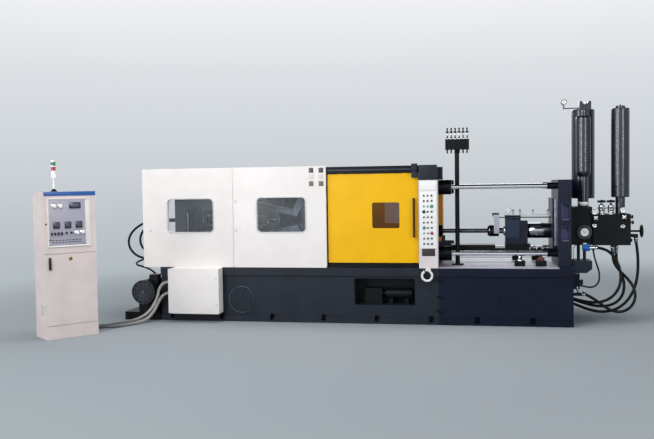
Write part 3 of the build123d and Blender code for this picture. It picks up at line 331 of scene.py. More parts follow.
# colour, its shade, roughness, stretch of the tool lines and their grain
steels = {
    "turnedSteel": ("#b9bbbd", "#9fa2a5", 0.3, (6, 1, 1)),
    "linkSteel": ("#4c525d", "#3a3f49", 0.42, (8, 1, 1)),
    "brightEdge": ("#c9cbd0", "#b0b3ba", 0.28, (6, 1, 1)),
    "milledSteel": ("#b5b3c2", "#9a98a8", 0.34, (1, 8, 1)),
    "oiledRod": ("#6d7077", "#54575e", 0.2, (8, 1, 1)),
    "zincPlate": ("#cfd2d4", "#b7babd", 0.24, (1, 1, 1), 3.0),
    "blackOxide": ("#232529", "#191b1e", 0.34, (1, 1, 1), 2.5),
    "brassKey": ("#b9975a", "#9d7d45", 0.3, (1, 1, 1)),
}
plastics = {
    "dialWhite": ("#eceeee", 0.4), "capBlack": ("#131316", 0.3), "capGreen": ("#3f8f74", 0.25),
    "capRed": ("#b03a44", 0.25), "capWhite": ("#efefee", 0.25), "screenDark": ("#23252e", 0.15),
    "screenLit": ("#54586a", 0.2), "plateDark": ("#2b2524", 0.35), "plateOlive": ("#5c5a44", 0.4),
    "platePale": ("#cfcdc9", 0.4),
}
lampBands = [(1650, "#20242a"), (1672, "#ecedee"), (1885, "#a51d2c"), (1929, "#ecedee"), (1942, "#0f6b45"),
             (1984, "#ecedee")]
finishes = {
    "hardChrome": hardChrome("hardChrome", "#e8e9eb"),
    "barrelSteel": hardChrome("barrelSteel", "#a6a9b0"),
    "hoseRubber": oiledRubber("hoseRubber", "#08090a", "#060607", 0.15),
    "conduitGrey": oiledRubber("conduitGrey", "#a5a2a0", "#8f8c8a", 0.3, far=(-3900.0, -3560.0, "#4a4b4e")),
    "gasketGrey": oiledRubber("gasketGrey", "#cfcfce", "#c3c3c2"),
    # the guard panes' rear right part carries painted shade
    "guardPane": clearSheet("guardPane", "#c3ccd3", 0.07, shadeSheet=(-2500.0, "#20242b")),
    "doorPane": clearSheet("doorPane", "#5e3612", 0.42),
    "dialGlass": clearSheet("dialGlass", "#f2f4f5", 0.12, 0.02),
    "lampStack": bandedPlastic("lampStack", lampBands),
}
for name, spec in enamels.items():
    finishes[name] = sprayedEnamel(name, *spec, **enamelExtras.get(name, {}))
for name, spec in steels.items():
    finishes[name] = workedSteel(name, *spec)
for name, spec in plastics.items():
    finishes[name] = mouldedPlastic(name, *spec)
finishOfNode = {
    "guardWhite": ["front_guards", "rear_guards", "terminal_box", "panel_hook"],
    "panelWhite": ["operator_panel"],
    "cabinetWhite": ["cabinet_body", "cabinet_door"],
    "doorYellow": ["front_door", "rear_door"],
    "shadedCornerYellow": ["rear_corner_panel"],
    "baseSlate": ["clamp_base", "manhole_cover"],
    "baseNavy": ["injection_base"],
    "blockNavy": ["injection_frame", "injection_cylinder", "cylinder_rear_flange"],
    "tealBlock": ["lower_valve_block"],
    "railBlack": ["door_rails", "motor_skid", "base_hydraulics", "support_beam", "manifold_post"],
    "bottleBlack": ["accumulators", "gas_bottle"],
    "manifoldBlack": ["shot_valve_stack", "valve_block", "spray_manifold", "handwheel"],
    "trayLilac": ["drip_tray"],
    "motorBlack": ["pump_set"],
    "platenSlate": ["tail_platen", "moving_platen", "fixed_platen", "closing_cylinder", "crosshead"],
    "primerRed": ["screw_jacks"],
    "linkSteel": ["toggle_links"],
    "turnedSteel": ["switch_rail"],
    "blackOxide": ["tie_bar_nuts", "rod_coupling", "shot_sleeve"],
    "hardChrome": ["tie_bars", "injection_tie_rods"],
    "oiledRod": ["shot_rods"],
    "guardPane": ["guard_panes"],
    "doorPane": ["front_door_pane", "rear_door_pane"],
    "capBlack": ["operator_buttons", "cabinet_instruments"],
    "lampStack": ["signal_lamp"],
    "hoseRubber": ["hose_front", "hose_middle", "hose_looped", "hose_outer", "drain_hose", "clamp_hose_front",
                   "clamp_hose_rear", "pump_hose"],
    "conduitGrey": ["conduit_upper", "conduit_lower"],
}
for finish, members in finishOfNode.items():
    for node in members:
        nodes[node].data.materials.clear()
        nodes[node].data.materials.append(finishes[finish])
print("finishes made:", len(finishes))


# hoses and conduits: each lies on the route of its plain tube
lineKinds = {
    "conduit": {"finish": "conduitGrey", "stiffness": "limp", "lay": "loose"},
    "hose": {"finish": "hoseRubber", "stiffness": "medium", "lay": "hanging"},
}
hoses = {
    "conduit_upper": {"radius": 0.019, "length": 1.309, "kind": "conduit", "route": [
        (-3.329, -0.770, 0.495), (-3.385, -0.770, 0.492), (-3.439, -0.774, 0.463), (-3.473, -0.782, 0.410),
        (-3.488, -0.792, 0.348), (-3.508, -0.806, 0.268), (-3.545, -0.834, 0.184), (-3.602, -0.874, 0.108),
        (-3.686, -0.930, 0.054), (-3.786, -1.008, 0.027), (-3.872, -1.115, 0.021), (-3.927, -1.232, 0.022),
        (-3.961, -1.338, 0.032), (-3.998, -1.438, 0.045), (-4.0349, -1.4825, 0.045)]},
    "conduit_lower": {"radius": 0.019, "length": 1.202, "kind": "conduit", "route": [
        (-3.329, -0.770, 0.362), (-3.397, -0.770, 0.349), (-3.451, -0.776, 0.306), (-3.486, -0.786, 0.245),
        (-3.518, -0.808, 0.168), (-3.550, -0.850, 0.100), (-3.588, -0.918, 0.048), (-3.638, -1.010, 0.024),
        (-3.704, -1.118, 0.020), (-3.776, -1.235, 0.020), (-3.842, -1.350, 0.026), (-3.903, -1.449, 0.042),
        (-3.9732, -1.5334, 0.045)]},
    "hose_front": {"radius": 0.017, "length": 1.201, "kind": "hose", "route": [
        (1.865, -0.200, 0.881), (1.945, -0.212, 0.868), (2.018, -0.232, 0.815), (2.072, -0.255, 0.735),
        (2.106, -0.270, 0.642), (2.118, -0.282, 0.545), (2.105, -0.290, 0.445), (2.060, -0.297, 0.352),
        (1.985, -0.302, 0.282), (1.888, -0.305, 0.243), (1.782, -0.305, 0.236), (1.675, -0.302, 0.254),
        (1.569, -0.300, 0.281)]},
    "hose_middle": {"radius": 0.017, "length": 1.162, "kind": "hose", "route": [
        (2.091, -0.100, 0.809), (2.093, -0.102, 0.735), (2.110, -0.110, 0.655), (2.145, -0.125, 0.570),
        (2.172, -0.140, 0.480), (2.175, -0.155, 0.385), (2.147, -0.170, 0.297), (2.086, -0.182, 0.228),
        (2.000, -0.192, 0.187), (1.900, -0.200, 0.177), (1.795, -0.206, 0.190), (1.682, -0.209, 0.222),
        (1.569, -0.210, 0.262)]},
    "hose_looped": {"radius": 0.017, "length": 1.317, "kind": "hose", "route": [
        (2.040, -0.170, 0.809), (2.044, -0.172, 0.735), (2.074, -0.180, 0.662), (2.128, -0.196, 0.592),
        (2.194, -0.220, 0.524), (2.250, -0.250, 0.448), (2.280, -0.284, 0.357), (2.266, -0.318, 0.260),
        (2.206, -0.348, 0.180), (2.115, -0.370, 0.139), (2.015, -0.386, 0.148), (1.928, -0.395, 0.194),
        (1.846, -0.400, 0.258), (1.769, -0.401, 0.313), (1.700, -0.400, 0.346)]},
    "hose_outer": {"radius": 0.017, "length": 1.437, "kind": "hose", "route": [
        (2.318, -0.100, 0.942), (2.330, -0.100, 0.862), (2.338, -0.102, 0.765), (2.340, -0.105, 0.665),
        (2.335, -0.108, 0.565), (2.320, -0.112, 0.465), (2.290, -0.117, 0.368), (2.243, -0.120, 0.275),
        (2.174, -0.120, 0.192), (2.086, -0.118, 0.132), (1.986, -0.115, 0.101), (1.880, -0.112, 0.099),
        (1.776, -0.110, 0.122), (1.674, -0.109, 0.160), (1.569, -0.110, 0.205)]},
    "drain_hose": {"radius": 0.010, "length": 0.609, "kind": "hose", "route": [
        (1.816, -0.200, 0.845), (1.822, -0.213, 0.783), (1.838, -0.238, 0.718), (1.858, -0.268, 0.652),
        (1.872, -0.295, 0.582), (1.870, -0.315, 0.512), (1.844, -0.328, 0.456), (1.796, -0.333, 0.424),
        (1.732, -0.332, 0.422), (1.665, -0.330, 0.440)]},
    "clamp_hose_front": {"radius": 0.015, "length": 1.337, "kind": "hose", "route": [
        (-3.695, -0.060, 1.240), (-3.800, -0.074, 1.238), (-3.910, -0.098, 1.222), (-4.012, -0.130, 1.175),
        (-4.096, -0.160, 1.102), (-4.143, -0.190, 1.008), (-4.134, -0.215, 0.908), (-4.076, -0.235, 0.824),
        (-3.988, -0.248, 0.767), (-3.885, -0.256, 0.741), (-3.775, -0.259, 0.734), (-3.635, -0.260, 0.736),
        (-3.520, -0.260, 0.735)]},
    "clamp_hose_rear": {"radius": 0.015, "length": 1.141, "kind": "hose", "route": [
        (-3.695, 0.060, 1.225), (-3.800, 0.050, 1.222), (-3.905, 0.035, 1.195), (-3.994, 0.014, 1.135),
        (-4.048, -0.012, 1.048), (-4.052, -0.042, 0.953), (-4.004, -0.072, 0.868), (-3.919, -0.096, 0.805),
        (-3.814, -0.113, 0.766), (-3.705, -0.124, 0.746), (-3.600, -0.129, 0.737), (-3.520, -0.130, 0.735)]},
    "pump_hose": {"radius": 0.012, "length": 1.121, "kind": "hose", "route": [
        (-3.520, 0.020, 0.735), (-3.600, 0.020, 0.738), (-3.712, 0.014, 0.741), (-3.825, -0.004, 0.738),
        (-3.930, -0.042, 0.726), (-4.008, -0.108, 0.705), (-4.037, -0.195, 0.680), (-4.003, -0.277, 0.660),
        (-3.922, -0.322, 0.646), (-3.826, -0.334, 0.625), (-3.741, -0.333, 0.578), (-3.686, -0.326, 0.515),
        (-3.663, -0.320, 0.470)]},
}


def layHose(node, spec):
    kind = lineKinds[spec["kind"]]
    curve = bpy.data.curves.new(node + "_line", "CURVE")
    curve.dimensions = "3D"
    curve.bevel_depth = spec["radius"]
    curve.bevel_resolution = 5
    curve.resolution_u = 12
    spline = curve.splines.new("NURBS")
    spline.points.add(len(spec["route"]) - 1)
    for point, place in zip(spline.points, spec["route"]):
        point.co = (*place, 1)
    spline.order_u = 3
    spline.use_endpoint_u = True
    curve.materials.append(finishes[kind["finish"]])
    hose = bpy.data.objects.new(node + "_line", curve)
    bpy.context.scene.collection.objects.link(hose)
    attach(hose, "machine")
    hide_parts(node)


for node, spec in hoses.items():
    layHose(node, spec)
print("hoses laid:", len(hoses))


# mesh makers
toFront, toRight, toLeft, toTop = (0, -1, 0), (1, 0, 0), (-1, 0, 0), (0, 0, 1)
# lathe-turned forms: number of facets, then pairs of radius and height, in metres or in shares of a given size
forms = {
    "capScrew": (14, (1, 0), (1, 0.85), (0.88, 1), (0.5, 1), (0.46, 0.45), (0, 0.45)),
    "washer": (20, (0.0105, 0), (0.0105, 0.0014), (0.0084, 0.0014)),
    "hexNut": (6, (0.00805, 0.0014), (0.00805, 0.0072), (0.007, 0.008), (0.0042, 0.008), (0.0042, 0.0108),
               (0.0035, 0.0116), (0, 0.0116)),
    "gaugeCase": (40, (0, 0), (0.92, 0), (1, 0.1), (1, 0.95), (0.97, 1), (0.88, 1), (0.86, 0.7)),
    "gaugeDial": (40, (0.87, 0.72), (0, 0.72)),
    "gaugeGlass": (40, (0.88, 0.9), (0.4, 0.96), (0, 0.97)),
    "guardScrew": (16, (0.011, 0), (0.011, 0.002), (0.008, 0.005), (0.004, 0.006), (0.0035, 0.003), (0, 0.003)),
    "buttonBezel": (24, (1.35, 0), (1.35, 0.003), (1.2, 0.005), (1.02, 0.005), (1, 0.002)),
    "buttonCap": (24, (0.96, 0), (0.96, 0.011), (0.85, 0.0135), (0.4, 0.0128), (0, 0.0122)),
    "hubDisc": (48, (1, 0), (1, 0.006), (0.97, 0.010), (0.9, 0.010), (0.86, 0.006), (0.3, 0.006), (0.28, 0.010),
                (0, 0.010)),
    "hubEdge": (48, (1, 0.009), (1.01, 0.0115), (0.96, 0.0125), (0.93, 0.011)),
    "pinHead": (28, (0.034, -0.001), (0.034, 0.004), (0.030, 0.006), (0.012, 0.006), (0.010, 0.002), (0, 0.002)),
    "coverSteps": (56, (0.190, 0), (0.190, 0.020), (0.176, 0.034), (0.150, 0.036), (0.142, 0.090), (0.128, 0.104),
                   (0.052, 0.106)),
    "coverRing": (56, (0.1425, 0), (0.1445, 0.002), (0.1445, 0.006), (0.1375, 0.014)),
    "manholeRing": (72, (1, -0.003), (1, 0.0015), (0.985, 0.0028), (0.965, 0.0015), (0.96, -0.001)),
    "boxLatch": (20, (0.010, 0), (0.010, 0.003), (0.007, 0.005), (0, 0.005)),
    "fanHub": (24, (0.018, 0), (0.018, 0.003), (0, 0.004)),
    "fanRim": (64, (0.144, 0), (0.144, 0.003), (0.149, 0.003), (0.149, -0.010)),
    "eyeFoot": (16, (0.012, -0.002), (0.012, 0.008), (0.006, 0.010)),
    "tipPin": (14, (0.007, 0), (0.007, 0.03)),
    "rodGland": (40, (0.060, -0.002), (0.060, 0.018), (0.056, 0.022), (0.0365, 0.022)),
    "gaugeStem": (16, (0.011, 0), (0.011, 0.008), (0.006, 0.010), (0.006, 0.030)),
    "plunger": (14, (0.007, -0.001), (0.007, 0.010), (0.014, 0.011), (0.014, 0.017), (0.004, 0.018), (0, 0.018)),
    "drainCock": (20, (0.017, 0), (0.017, 0.012), (0.012, 0.014), (0.012, 0.030), (0.016, 0.032), (0.016, 0.040),
                  (0, 0.041)),
    "stackRing": (56, (0.0862, -0.028), (0.0862, 0.003), (0.082, 0.006), (0.069, 0.006), (0.067, 0.001)),
    "stackRim": (56, (0.068, 0.001), (0.066, 0.007), (0.056, 0.008), (0.054, 0.002)),
    "neckCollar": (48, (0.0545, 0), (0.0562, 0.001), (0.0562, 0.042), (0.0545, 0.043)),
    "capPost": (20, (0.018, 0), (0.018, 0.02), (0.010, 0.024), (0.010, 0.066)),
    "fillingCap": (28, (0.022, 0), (0.024, 0.006), (0.024, 0.028), (0.018, 0.034), (0, 0.035)),
    "fillingNub": (16, (0.010, -0.002), (0.010, 0.012), (0.006, 0.016), (0, 0.017)),
    "starStem": (20, (0.012, -0.001), (0.012, 0.026), (0.008, 0.030), (0.008, 0.042)),
    "starHub": (16, (0.011, 0), (0.011, 0.020), (0.006, 0.023), (0, 0.023)),
    "eyeFitting": (28, (0.026, -0.001), (0.026, 0.010), (0.022, 0.014), (0.013, 0.014), (0.012, 0.004), (0, 0.004)),
    "needleValve": (28, (0.041, -0.001), (0.041, 0.010), (0.0345, 0.012), (0.0345, 0.040), (0.038, 0.042),
                    (0.038, 0.056), (0.0345, 0.058), (0.0345, 0.100), (0.030, 0.109), (0.0145, 0.110), (0.0145, 0.137)),
    "needleWheel": (32, (0.048, -0.002), (0.046, 0.004), (0.018, 0.004), (0.014, 0.010), (0, 0.010)),
    "sideNut": (6, (0.020, -0.001), (0.020, 0.008), (0.012, 0.009), (0.012, 0.018)),
    "sideKnob": (28, (0.010, 0), (0.021, 0.003), (0.023, 0.014), (0.018, 0.024), (0.009, 0.026), (0, 0.026)),
    "shutOffPlug": (32, (0.030, -0.002), (0.030, 0.006), (0.024, 0.010), (0, 0.010)),
    "union": (28, (0.0265, 0), (0.0265, 0.022), (0.0235, 0.024), (0.0235, 0.036), (0.028, 0.038), (0.028, 0.058),
              (0.0235, 0.061), (0.0235, 0.084)),
    "shutOffCap": (28, (0.024, -0.002), (0.024, 0.008), (0.019, 0.011), (0, 0.011)),
    "longFerrule": (24, (0.0202, 0), (0.0222, 0.003), (0.0222, 0.065), (0.0262, 0.067), (0.0262, 0.083),
                    (0.0202, 0.083)),
    "midFerrule": (24, (0.0202, 0), (0.0222, 0.003), (0.0222, 0.046), (0.0262, 0.048), (0.0262, 0.064),
                   (0.0202, 0.064)),
    "outerFerrule": (24, (0.0202, 0), (0.0222, 0.003), (0.0222, 0.030), (0.0262, 0.032), (0.0262, 0.050),
                     (0.0202, 0.052)),
    "elbowFerrule": (24, (0.0192, 0), (0.0212, 0.002), (0.0212, 0.040), (0.0192, 0.042)),
    "drainCollar": (28, (0.030, -0.001), (0.030, 0.022), (0, 0.0225)),
    "drainKnob": (28, (0.018, -0.001), (0.018, 0.012), (0.030, 0.014), (0.032, 0.030), (0.028, 0.044), (0, 0.046)),
    "sprayStem": (16, (0.014, -0.001), (0.014, 0.020), (0.0088, 0.022), (0.0088, 0.070)),
    "sprayKnob": (16, (0.0085, -0.001), (0.012, 0.003), (0.012, 0.0105), (0, 0.0115)),
    "lampBezel": (32, (0.029, 0), (0.029, 0.005), (0.025, 0.008), (0.023, 0.004)),
    "lampCap": (32, (0.0235, 0.003), (0.0235, 0.012), (0.018, 0.017), (0, 0.019)),
    "rotarySwitch": (24, (0.014, 0), (0.014, 0.006), (0.010, 0.009), (0, 0.010)),
    "cabinetButton": (24, (0.013, 0), (0.013, 0.008), (0.011, 0.012), (0, 0.012)),
    "smallButton": (16, (0.008, 0), (0.008, 0.006), (0, 0.007)),
    "frontLock": (20, (0.010, -0.001), (0.010, 0.003), (0.007, 0.004), (0, 0.004)),
    "handlePivot": (20, (0.011, 0), (0.011, 0.004), (0.006, 0.006), (0, 0.006)),
    "keyLock": (28, (0.021, 0), (0.021, 0.002), (0.016, 0.005), (0.010, 0.005), (0.009, 0.002), (0, 0.002)),
    "lampFoot": (28, (0.038, -0.001), (0.036, 0.006), (0.014, 0.028), (0.0095, 0.032)),
}


def newMeshes(count):
    return [bmesh.new() for k in range(count)]


def turned(bm, place, axis, profile, steps=28):
    # a lathe-turned shape; profile is pairs of radius and height along the axis
    turn = Vector(toTop).rotation_difference(Vector(axis)).to_matrix()
    rings = []
    for radius, height in profile:
        around = range(steps) if radius > 1e-6 else range(1)
        rings.append([bm.verts.new(Vector(place) + turn @ Vector((
            radius * math.cos(2 * math.pi * k / steps), radius * math.sin(2 * math.pi * k / steps), height)))
            for k in around])
    for lower, upper in zip(rings, rings[1:]):
        for k in range(steps):
            after = (k + 1) % steps
            corners = [lower[k % len(lower)], lower[after % len(lower)],
                       upper[after % len(upper)], upper[k % len(upper)]]
            corners = [c for i, c in enumerate(corners) if c not in corners[:i]]
            if len(corners) > 2:
                bm.faces.new(corners)


def formed(bm, form, place, axis, wide=1, high=1):
    # one of the forms, with its radii times wide and its heights times high
    steps, *profile = forms[form]
    turned(bm, place, axis, [(radius * wide, height * high) for radius, height in profile], steps)


def slab(bm, low, high, edge=0.0):
    # a block between two corners with its edges eased by a small chamfer
    made = bmesh.ops.create_cube(bm, size=1)["verts"]
    low, high = Vector(low), Vector(high)
    for vert in made:
        vert.co = Vector((low[i] if vert.co[i] < 0 else high[i]) for i in range(3))
    if edge:
        edges = list({e for v in made for e in v.link_edges})
        bmesh.ops.bevel(bm, geom=edges, offset=edge, segments=2, profile=0.7, affect="EDGES")


def block(bm, x, y, z, edge):
    # a slab between pairs of places
    slab(bm, (x[0], y[0], z[0]), (x[1], y[1], z[1]), edge)


def sideSlab(bm, side, near, far, x, z, edge):
    # a block from near to far off the centre plane; side is -1 on the front and 1 on the rear
    block(bm, x, sorted((side * near, side * far)), z, edge)


def about(middle, half):
    return (middle - half, middle + half)


def finishPiece(name, bm, finish, body="machine", place=None, crease=35):
    # closes the mesh into an object that rides on its body
    for face in bm.faces:
        face.smooth = True
    if place:
        bmesh.ops.transform(bm, matrix=place, verts=bm.verts)
    for edge in bm.edges:
        edge.smooth = edge.calc_face_angle(0) < math.radians(crease)
    mesh = bpy.data.meshes.new(name)
    bm.to_mesh(mesh)
    bm.free()
    mesh.materials.append(finishes[finish])
    piece = bpy.data.objects.new(name, mesh)
    bpy.context.scene.collection.objects.link(piece)
    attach(piece, body)
    return piece


def roundedLoop(x, z, radius, grow, steps=6):
    # corner points of a rounded window, grown outwards by grow
    points = []
    for cx, cz, start in ((x[1] - radius, z[1] - radius, 0), (x[0] + radius, z[1] - radius, 90),
                          (x[0] + radius, z[0] + radius, 180), (x[1] - radius, z[0] + radius, 270)):
        for k in range(steps + 1):
            a = math.radians(start + 90 * k / steps)
            points.append((cx + (radius + grow) * math.cos(a), cz + (radius + grow) * math.sin(a)))
    return points


def windowBead(bm, x, z, radius, face, side, width=0.014, proud=0.004):
    # rubber bead round a window
    loops = []
    for grow, depth in ((-0.002, 0.002), (0.0, proud), (width * 0.7, proud), (width, 0.0), (-0.002, -0.004)):
        loops.append([bm.verts.new((px, face + side * depth, pz)) for px, pz in roundedLoop(x, z, radius, grow)])
    for inner, outer in zip(loops, loops[1:]):
        for k in range(len(inner)):
            after = (k + 1) % len(inner)
            quad = [inner[k], inner[after], outer[after], outer[k]]
            bm.faces.new(quad if side > 0 else quad[::-1])


def bar(bm, start, stop, width, thick, side=(0, 1, 0)):
    # straight flat bar between two points; side is the direction of its thickness
    start, stop, side = Vector(start), Vector(stop), Vector(side).normalized()
    across = (stop - start).normalized().cross(side).normalized() * width / 2
    deep = side * thick / 2
    corners = [bm.verts.new(end + s * across + t * deep)
               for end in (start, stop) for s, t in ((-1, -1), (1, -1), (1, 1), (-1, 1))]
    for quad in ((3, 2, 1, 0), (4, 5, 6, 7), (0, 1, 5, 4), (1, 2, 6, 5), (2, 3, 7, 6), (3, 0, 4, 7)):
        bm.faces.new([corners[k] for k in quad])


def bentPipe(bm, points, radius, steps=12, between=6):
    # pipe bent smoothly through a few points, closed at both ends
    knots = [Vector(point) for point in points]
    line = []
    for k in range(len(knots) - 1):
        a, b, c, d = knots[max(k - 1, 0)], knots[k], knots[k + 1], knots[min(k + 2, len(knots) - 1)]
        for n in range(between):
            t = n / between
            line.append(0.5 * (2 * b + (c - a) * t + (2 * a - 5 * b + 4 * c - d) * t * t
                               + (3 * b - a - 3 * c + d) * t ** 3))
    line.append(knots[-1])
    ahead = [(line[min(k + 1, len(line) - 1)] - line[max(k - 1, 0)]).normalized() for k in range(len(line))]
    across = ahead[0].orthogonal().normalized()
    turns = [2 * math.pi * k / steps for k in range(steps)]
    rings = []
    for point, way in zip(line, ahead):
        across = (across - way * across.dot(way)).normalized()
        over = way.cross(across)
        rings.append([bm.verts.new(point + radius * (across * math.cos(a) + over * math.sin(a))) for a in turns])
    for before, after in zip(rings, rings[1:]):
        for k in range(steps):
            bm.faces.new((before[k], before[(k + 1) % steps], after[(k + 1) % steps], after[k]))
    bm.faces.new(rings[0][::-1])
    bm.faces.new(rings[-1])


def inPlane(degrees, upright=True):
    # unit vector at an angle, in the upright plane along the machine or level
    a = math.radians(degrees)
    return Vector((math.cos(a), 0, math.sin(a)) if upright else (math.cos(a), math.sin(a), 0))


def dialGauge(name, place, axis, radius, depth, case="blackOxide"):
    # pressure gauge: rolled case, white dial with its ticks, needle and a thin glass
    turn = Vector(toTop).rotation_difference(Vector(axis)).to_matrix()
    seat = Vector(place)
    shell, dial, marks, glass = newMeshes(4)
    formed(shell, "gaugeCase", place, axis, radius, depth)
    formed(dial, "gaugeDial", place, axis, radius, depth)
    formed(glass, "gaugeGlass", place, axis, radius, depth)
    level = Vector((0, 0, depth * 0.74))
    for k in range(13):
        spoke = inPlane(-45 + 22.5 * k, False) * radius
        bar(marks, seat + turn @ (spoke * 0.68 + level), seat + turn @ (spoke * 0.8 + level), radius * 0.035,
            depth * 0.03, axis)
    tip = inPlane(math.degrees(2.2), False) * radius * 0.6
    level = Vector((0, 0, depth * 0.78))
    bar(marks, seat + turn @ (level - tip * 0.25), seat + turn @ (level + tip), radius * 0.06, depth * 0.03, axis)
    turned(marks, seat + turn @ level, axis, [(radius * 0.1, -depth * 0.03), (radius * 0.1, depth * 0.05),
                                              (0, depth * 0.05)], 16)
    for part, bm, finish in (("case", shell, case), ("dial", dial, "dialWhite"), ("marks", marks, "capBlack"),
                             ("glass", glass, "dialGlass")):
        finishPiece(name + "_" + part, bm, finish)


print("mesh makers ready")


# guards: window beads, button-head screws and the small blank plates at the top right
guards = {
    "face": 0.690, "corner": 0.05,
    "windows": (((-3.376, -2.781), (1.114, 1.526)), ((-2.213, -1.603), (1.111, 1.532))),
    "screws": [(-3.609, 1.491), (-3.609, 1.132), (-2.490, 1.490), (-2.490, 1.133)],
    "plateX": (-1.523, -1.401), "plateRows": ((1.861, "plateDark"), (1.783, "platePale"), (1.698, "plateOlive")),
    "plateSize": (0.058, 0.060, 0.002), "plateEdge": 0.0008,
}


def dressGuards(g):
    beads, screws = newMeshes(2)
    for side in (-1, 1):
        face = side * g["face"]
        for x, z in g["windows"]:
            windowBead(beads, x, z, g["corner"], face, side)
        for x, z in g["screws"]:
            formed(screws, "guardScrew", (x, face, z), (0, side, 0))
    finishPiece("window_beads", beads, "gasketGrey")
    finishPiece("guard_screws", screws, "zincPlate")
    width, height, thick = g["plateSize"]
    for row, (z, finish) in enumerate(g["plateRows"]):
        plates = bmesh.new()
        for x in g["plateX"]:
            sideSlab(plates, -1, g["face"], g["face"] + thick, about(x, width / 2), about(z, height / 2),
                     g["plateEdge"])
        finishPiece("blank_plates_" + str(row + 1), plates, finish)


dressGuards(guards)
print("guards dressed")


# operator panel: button field, push buttons and blank plates
panel = {
    "face": 0.690, "plates": (((-0.213, -0.018), (0.916, 1.588)), ((-0.213, -0.018), (1.600, 1.712))),
    "blank": ((-0.192, -0.037), (0.821, 0.908)), "centre": (-0.120, 1.251), "pitch": (0.046, 0.0635),
    "columns": 3, "rows": 10, "small": 0.010, "large": 0.017, "thick": 0.002, "edge": 0.0008,
    "blankThick": 0.003, "blankEdge": 0.001,
    "special": {(2, 2): ("capGreen", True), (3, 0): ("capBlack", True), (6, 0): ("capGreen", True),
                (7, 2): ("capRed", True), (2, 0): ("capGreen", False), (2, 1): ("capGreen", False),
                (7, 0): ("capGreen", False), (7, 1): ("capRed", False)},
}


def dressPanel(p):
    plates, blank, bezels = newMeshes(3)
    front = p["face"] + p["thick"]
    for x, z in p["plates"]:
        sideSlab(plates, -1, p["face"], front, x, z, p["edge"])
    finishPiece("button_field", plates, "capWhite")
    sideSlab(blank, -1, p["face"], p["face"] + p["blankThick"], *p["blank"], p["blankEdge"])
    finishPiece("lower_blank_plate", blank, "plateDark")
    caps = {finish: bmesh.new() for finish in ("capBlack", "capGreen", "capRed")}
    for row in range(p["rows"]):
        for column in range(p["columns"]):
            x = p["centre"][0] + (column - 1) * p["pitch"][0]
            z = p["centre"][1] + ((p["rows"] - 1) / 2 - row) * p["pitch"][1]
            finish, large = p["special"].get((row, column), ("capBlack", False))
            radius = p["large"] if large else p["small"]
            formed(bezels, "buttonBezel", (x, -front, z), toFront, radius)
            formed(caps[finish], "buttonCap", (x, -front, z), toFront, radius)
    finishPiece("button_bezels", bezels, "zincPlate")
    for finish, bm in caps.items():
        piece = finishPiece("buttons_" + finish, bm, finish)
        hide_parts("operator_buttons")


dressPanel(panel)
print("operator panel dressed")


# toggle seen through the guards: hub disc on the crosshead, bright link edges (machined steel, partly painted
# highlight), ground rods
toggle = {
    "axis": 1.231, "hub": (-2.125, 0.2302, 1.244), "hubRadius": 0.084, "key": (0.92, 0.012, 0.022, 0.016),
    "rods": ((0, 0.0503), (0.110, 0.0263), (-0.110, 0.0263)), "rodX": (-3.198, -2.216), "rodEdge": 0.001,
    "coverX": -3.200, "coverRingX": -3.110, "pins": ((-3.110, 0.376), (-1.830, 0.095), (-1.725, 0.330)),
    "linkFace": 0.2302, "linkHalf": 0.038, "edgeSize": (0.006, 0.0016), "pipeRadius": 0.006,
    "pipe": ((-3.199, 0.480, 1.350), (-3.190, 0.482, 1.290), (-3.192, 0.482, 1.180), (-3.199, 0.480, 1.080)),
}


def dressToggle(t):
    disc, shine, edges, rods, pipe = newMeshes(5)
    radius = t["hubRadius"]
    share, proud, width, thick = t["key"]
    for side in (-1, 1):
        outward = (0, side, 0)
        place = (t["hub"][0], side * t["hub"][1], t["hub"][2])
        formed(disc, "hubDisc", place, outward, radius)
        formed(shine, "hubEdge", place, outward, radius)
        middle = Vector(place) + Vector((0, side * proud, 0))
        bar(shine, middle - Vector((radius * share, 0, 0)), middle + Vector((radius * share, 0, 0)), width, thick)
        for up in (-1, 1):
            pins = [Vector((x, side * t["linkFace"], t["axis"] + up * height)) for x, height in t["pins"]]
            across = (pins[1] - pins[0]).normalized().cross(Vector((0, 1, 0))) * t["linkHalf"]
            # bright strips along the link edges: machined edges, and partly painted highlight
            for hand in (-1, 1):
                bar(edges, pins[0] + hand * across, pins[1] + hand * across, *t["edgeSize"])
            for pin in pins:
                formed(shine, "pinHead", pin, outward)
    formed(disc, "coverSteps", (t["coverX"], 0, t["axis"]), toRight)
    formed(shine, "coverRing", (t["coverRingX"], 0, t["axis"]), toRight)
    finishPiece("crosshead_hub", disc, "hubSlate")
    finishPiece("pin_heads", shine, "brightEdge")
    finishPiece("link_edges", edges, "brightEdge")
    start, length = t["rodX"][0], t["rodX"][1] - t["rodX"][0]
    for height, thick in t["rods"]:
        thin = thick - t["rodEdge"]
        turned(rods, (start, 0, t["axis"] + height), toRight, [(thin, 0), (thick, 0), (thick, length), (thin, length)],
               40)
    finishPiece("ground_rods", rods, "hardChrome")
    for side in (-1, 1):
        bentPipe(pipe, [(x, side * y, z) for x, y, z in t["pipe"]], t["pipeRadius"], 10)
    finishPiece("grease_pipes", pipe, "brightEdge")


dressToggle(toggle)
print("toggle dressed")


# door rails: pale strips, their end brackets with nuts, and the covers of the head boxes
rails = {
    "face": 0.650, "strip": ((-1.340, -0.312), (1.846, 1.862)), "bracket": ((-0.311, -0.239), (1.812, 1.919)),
    "lower": ((-0.311, -0.239), (1.754, 1.816)), "nutX": (-0.300, -0.250), "nutZ": (1.835, 1.895),
    "head": ((-0.222, -0.008), (1.720, 1.900)), "headFace": (0.686, 0.693), "stripProud": 0.002, "proud": 0.030,
    "lowerSunk": 0.006, "edges": (0.0006, 0.003, 0.0015),
}


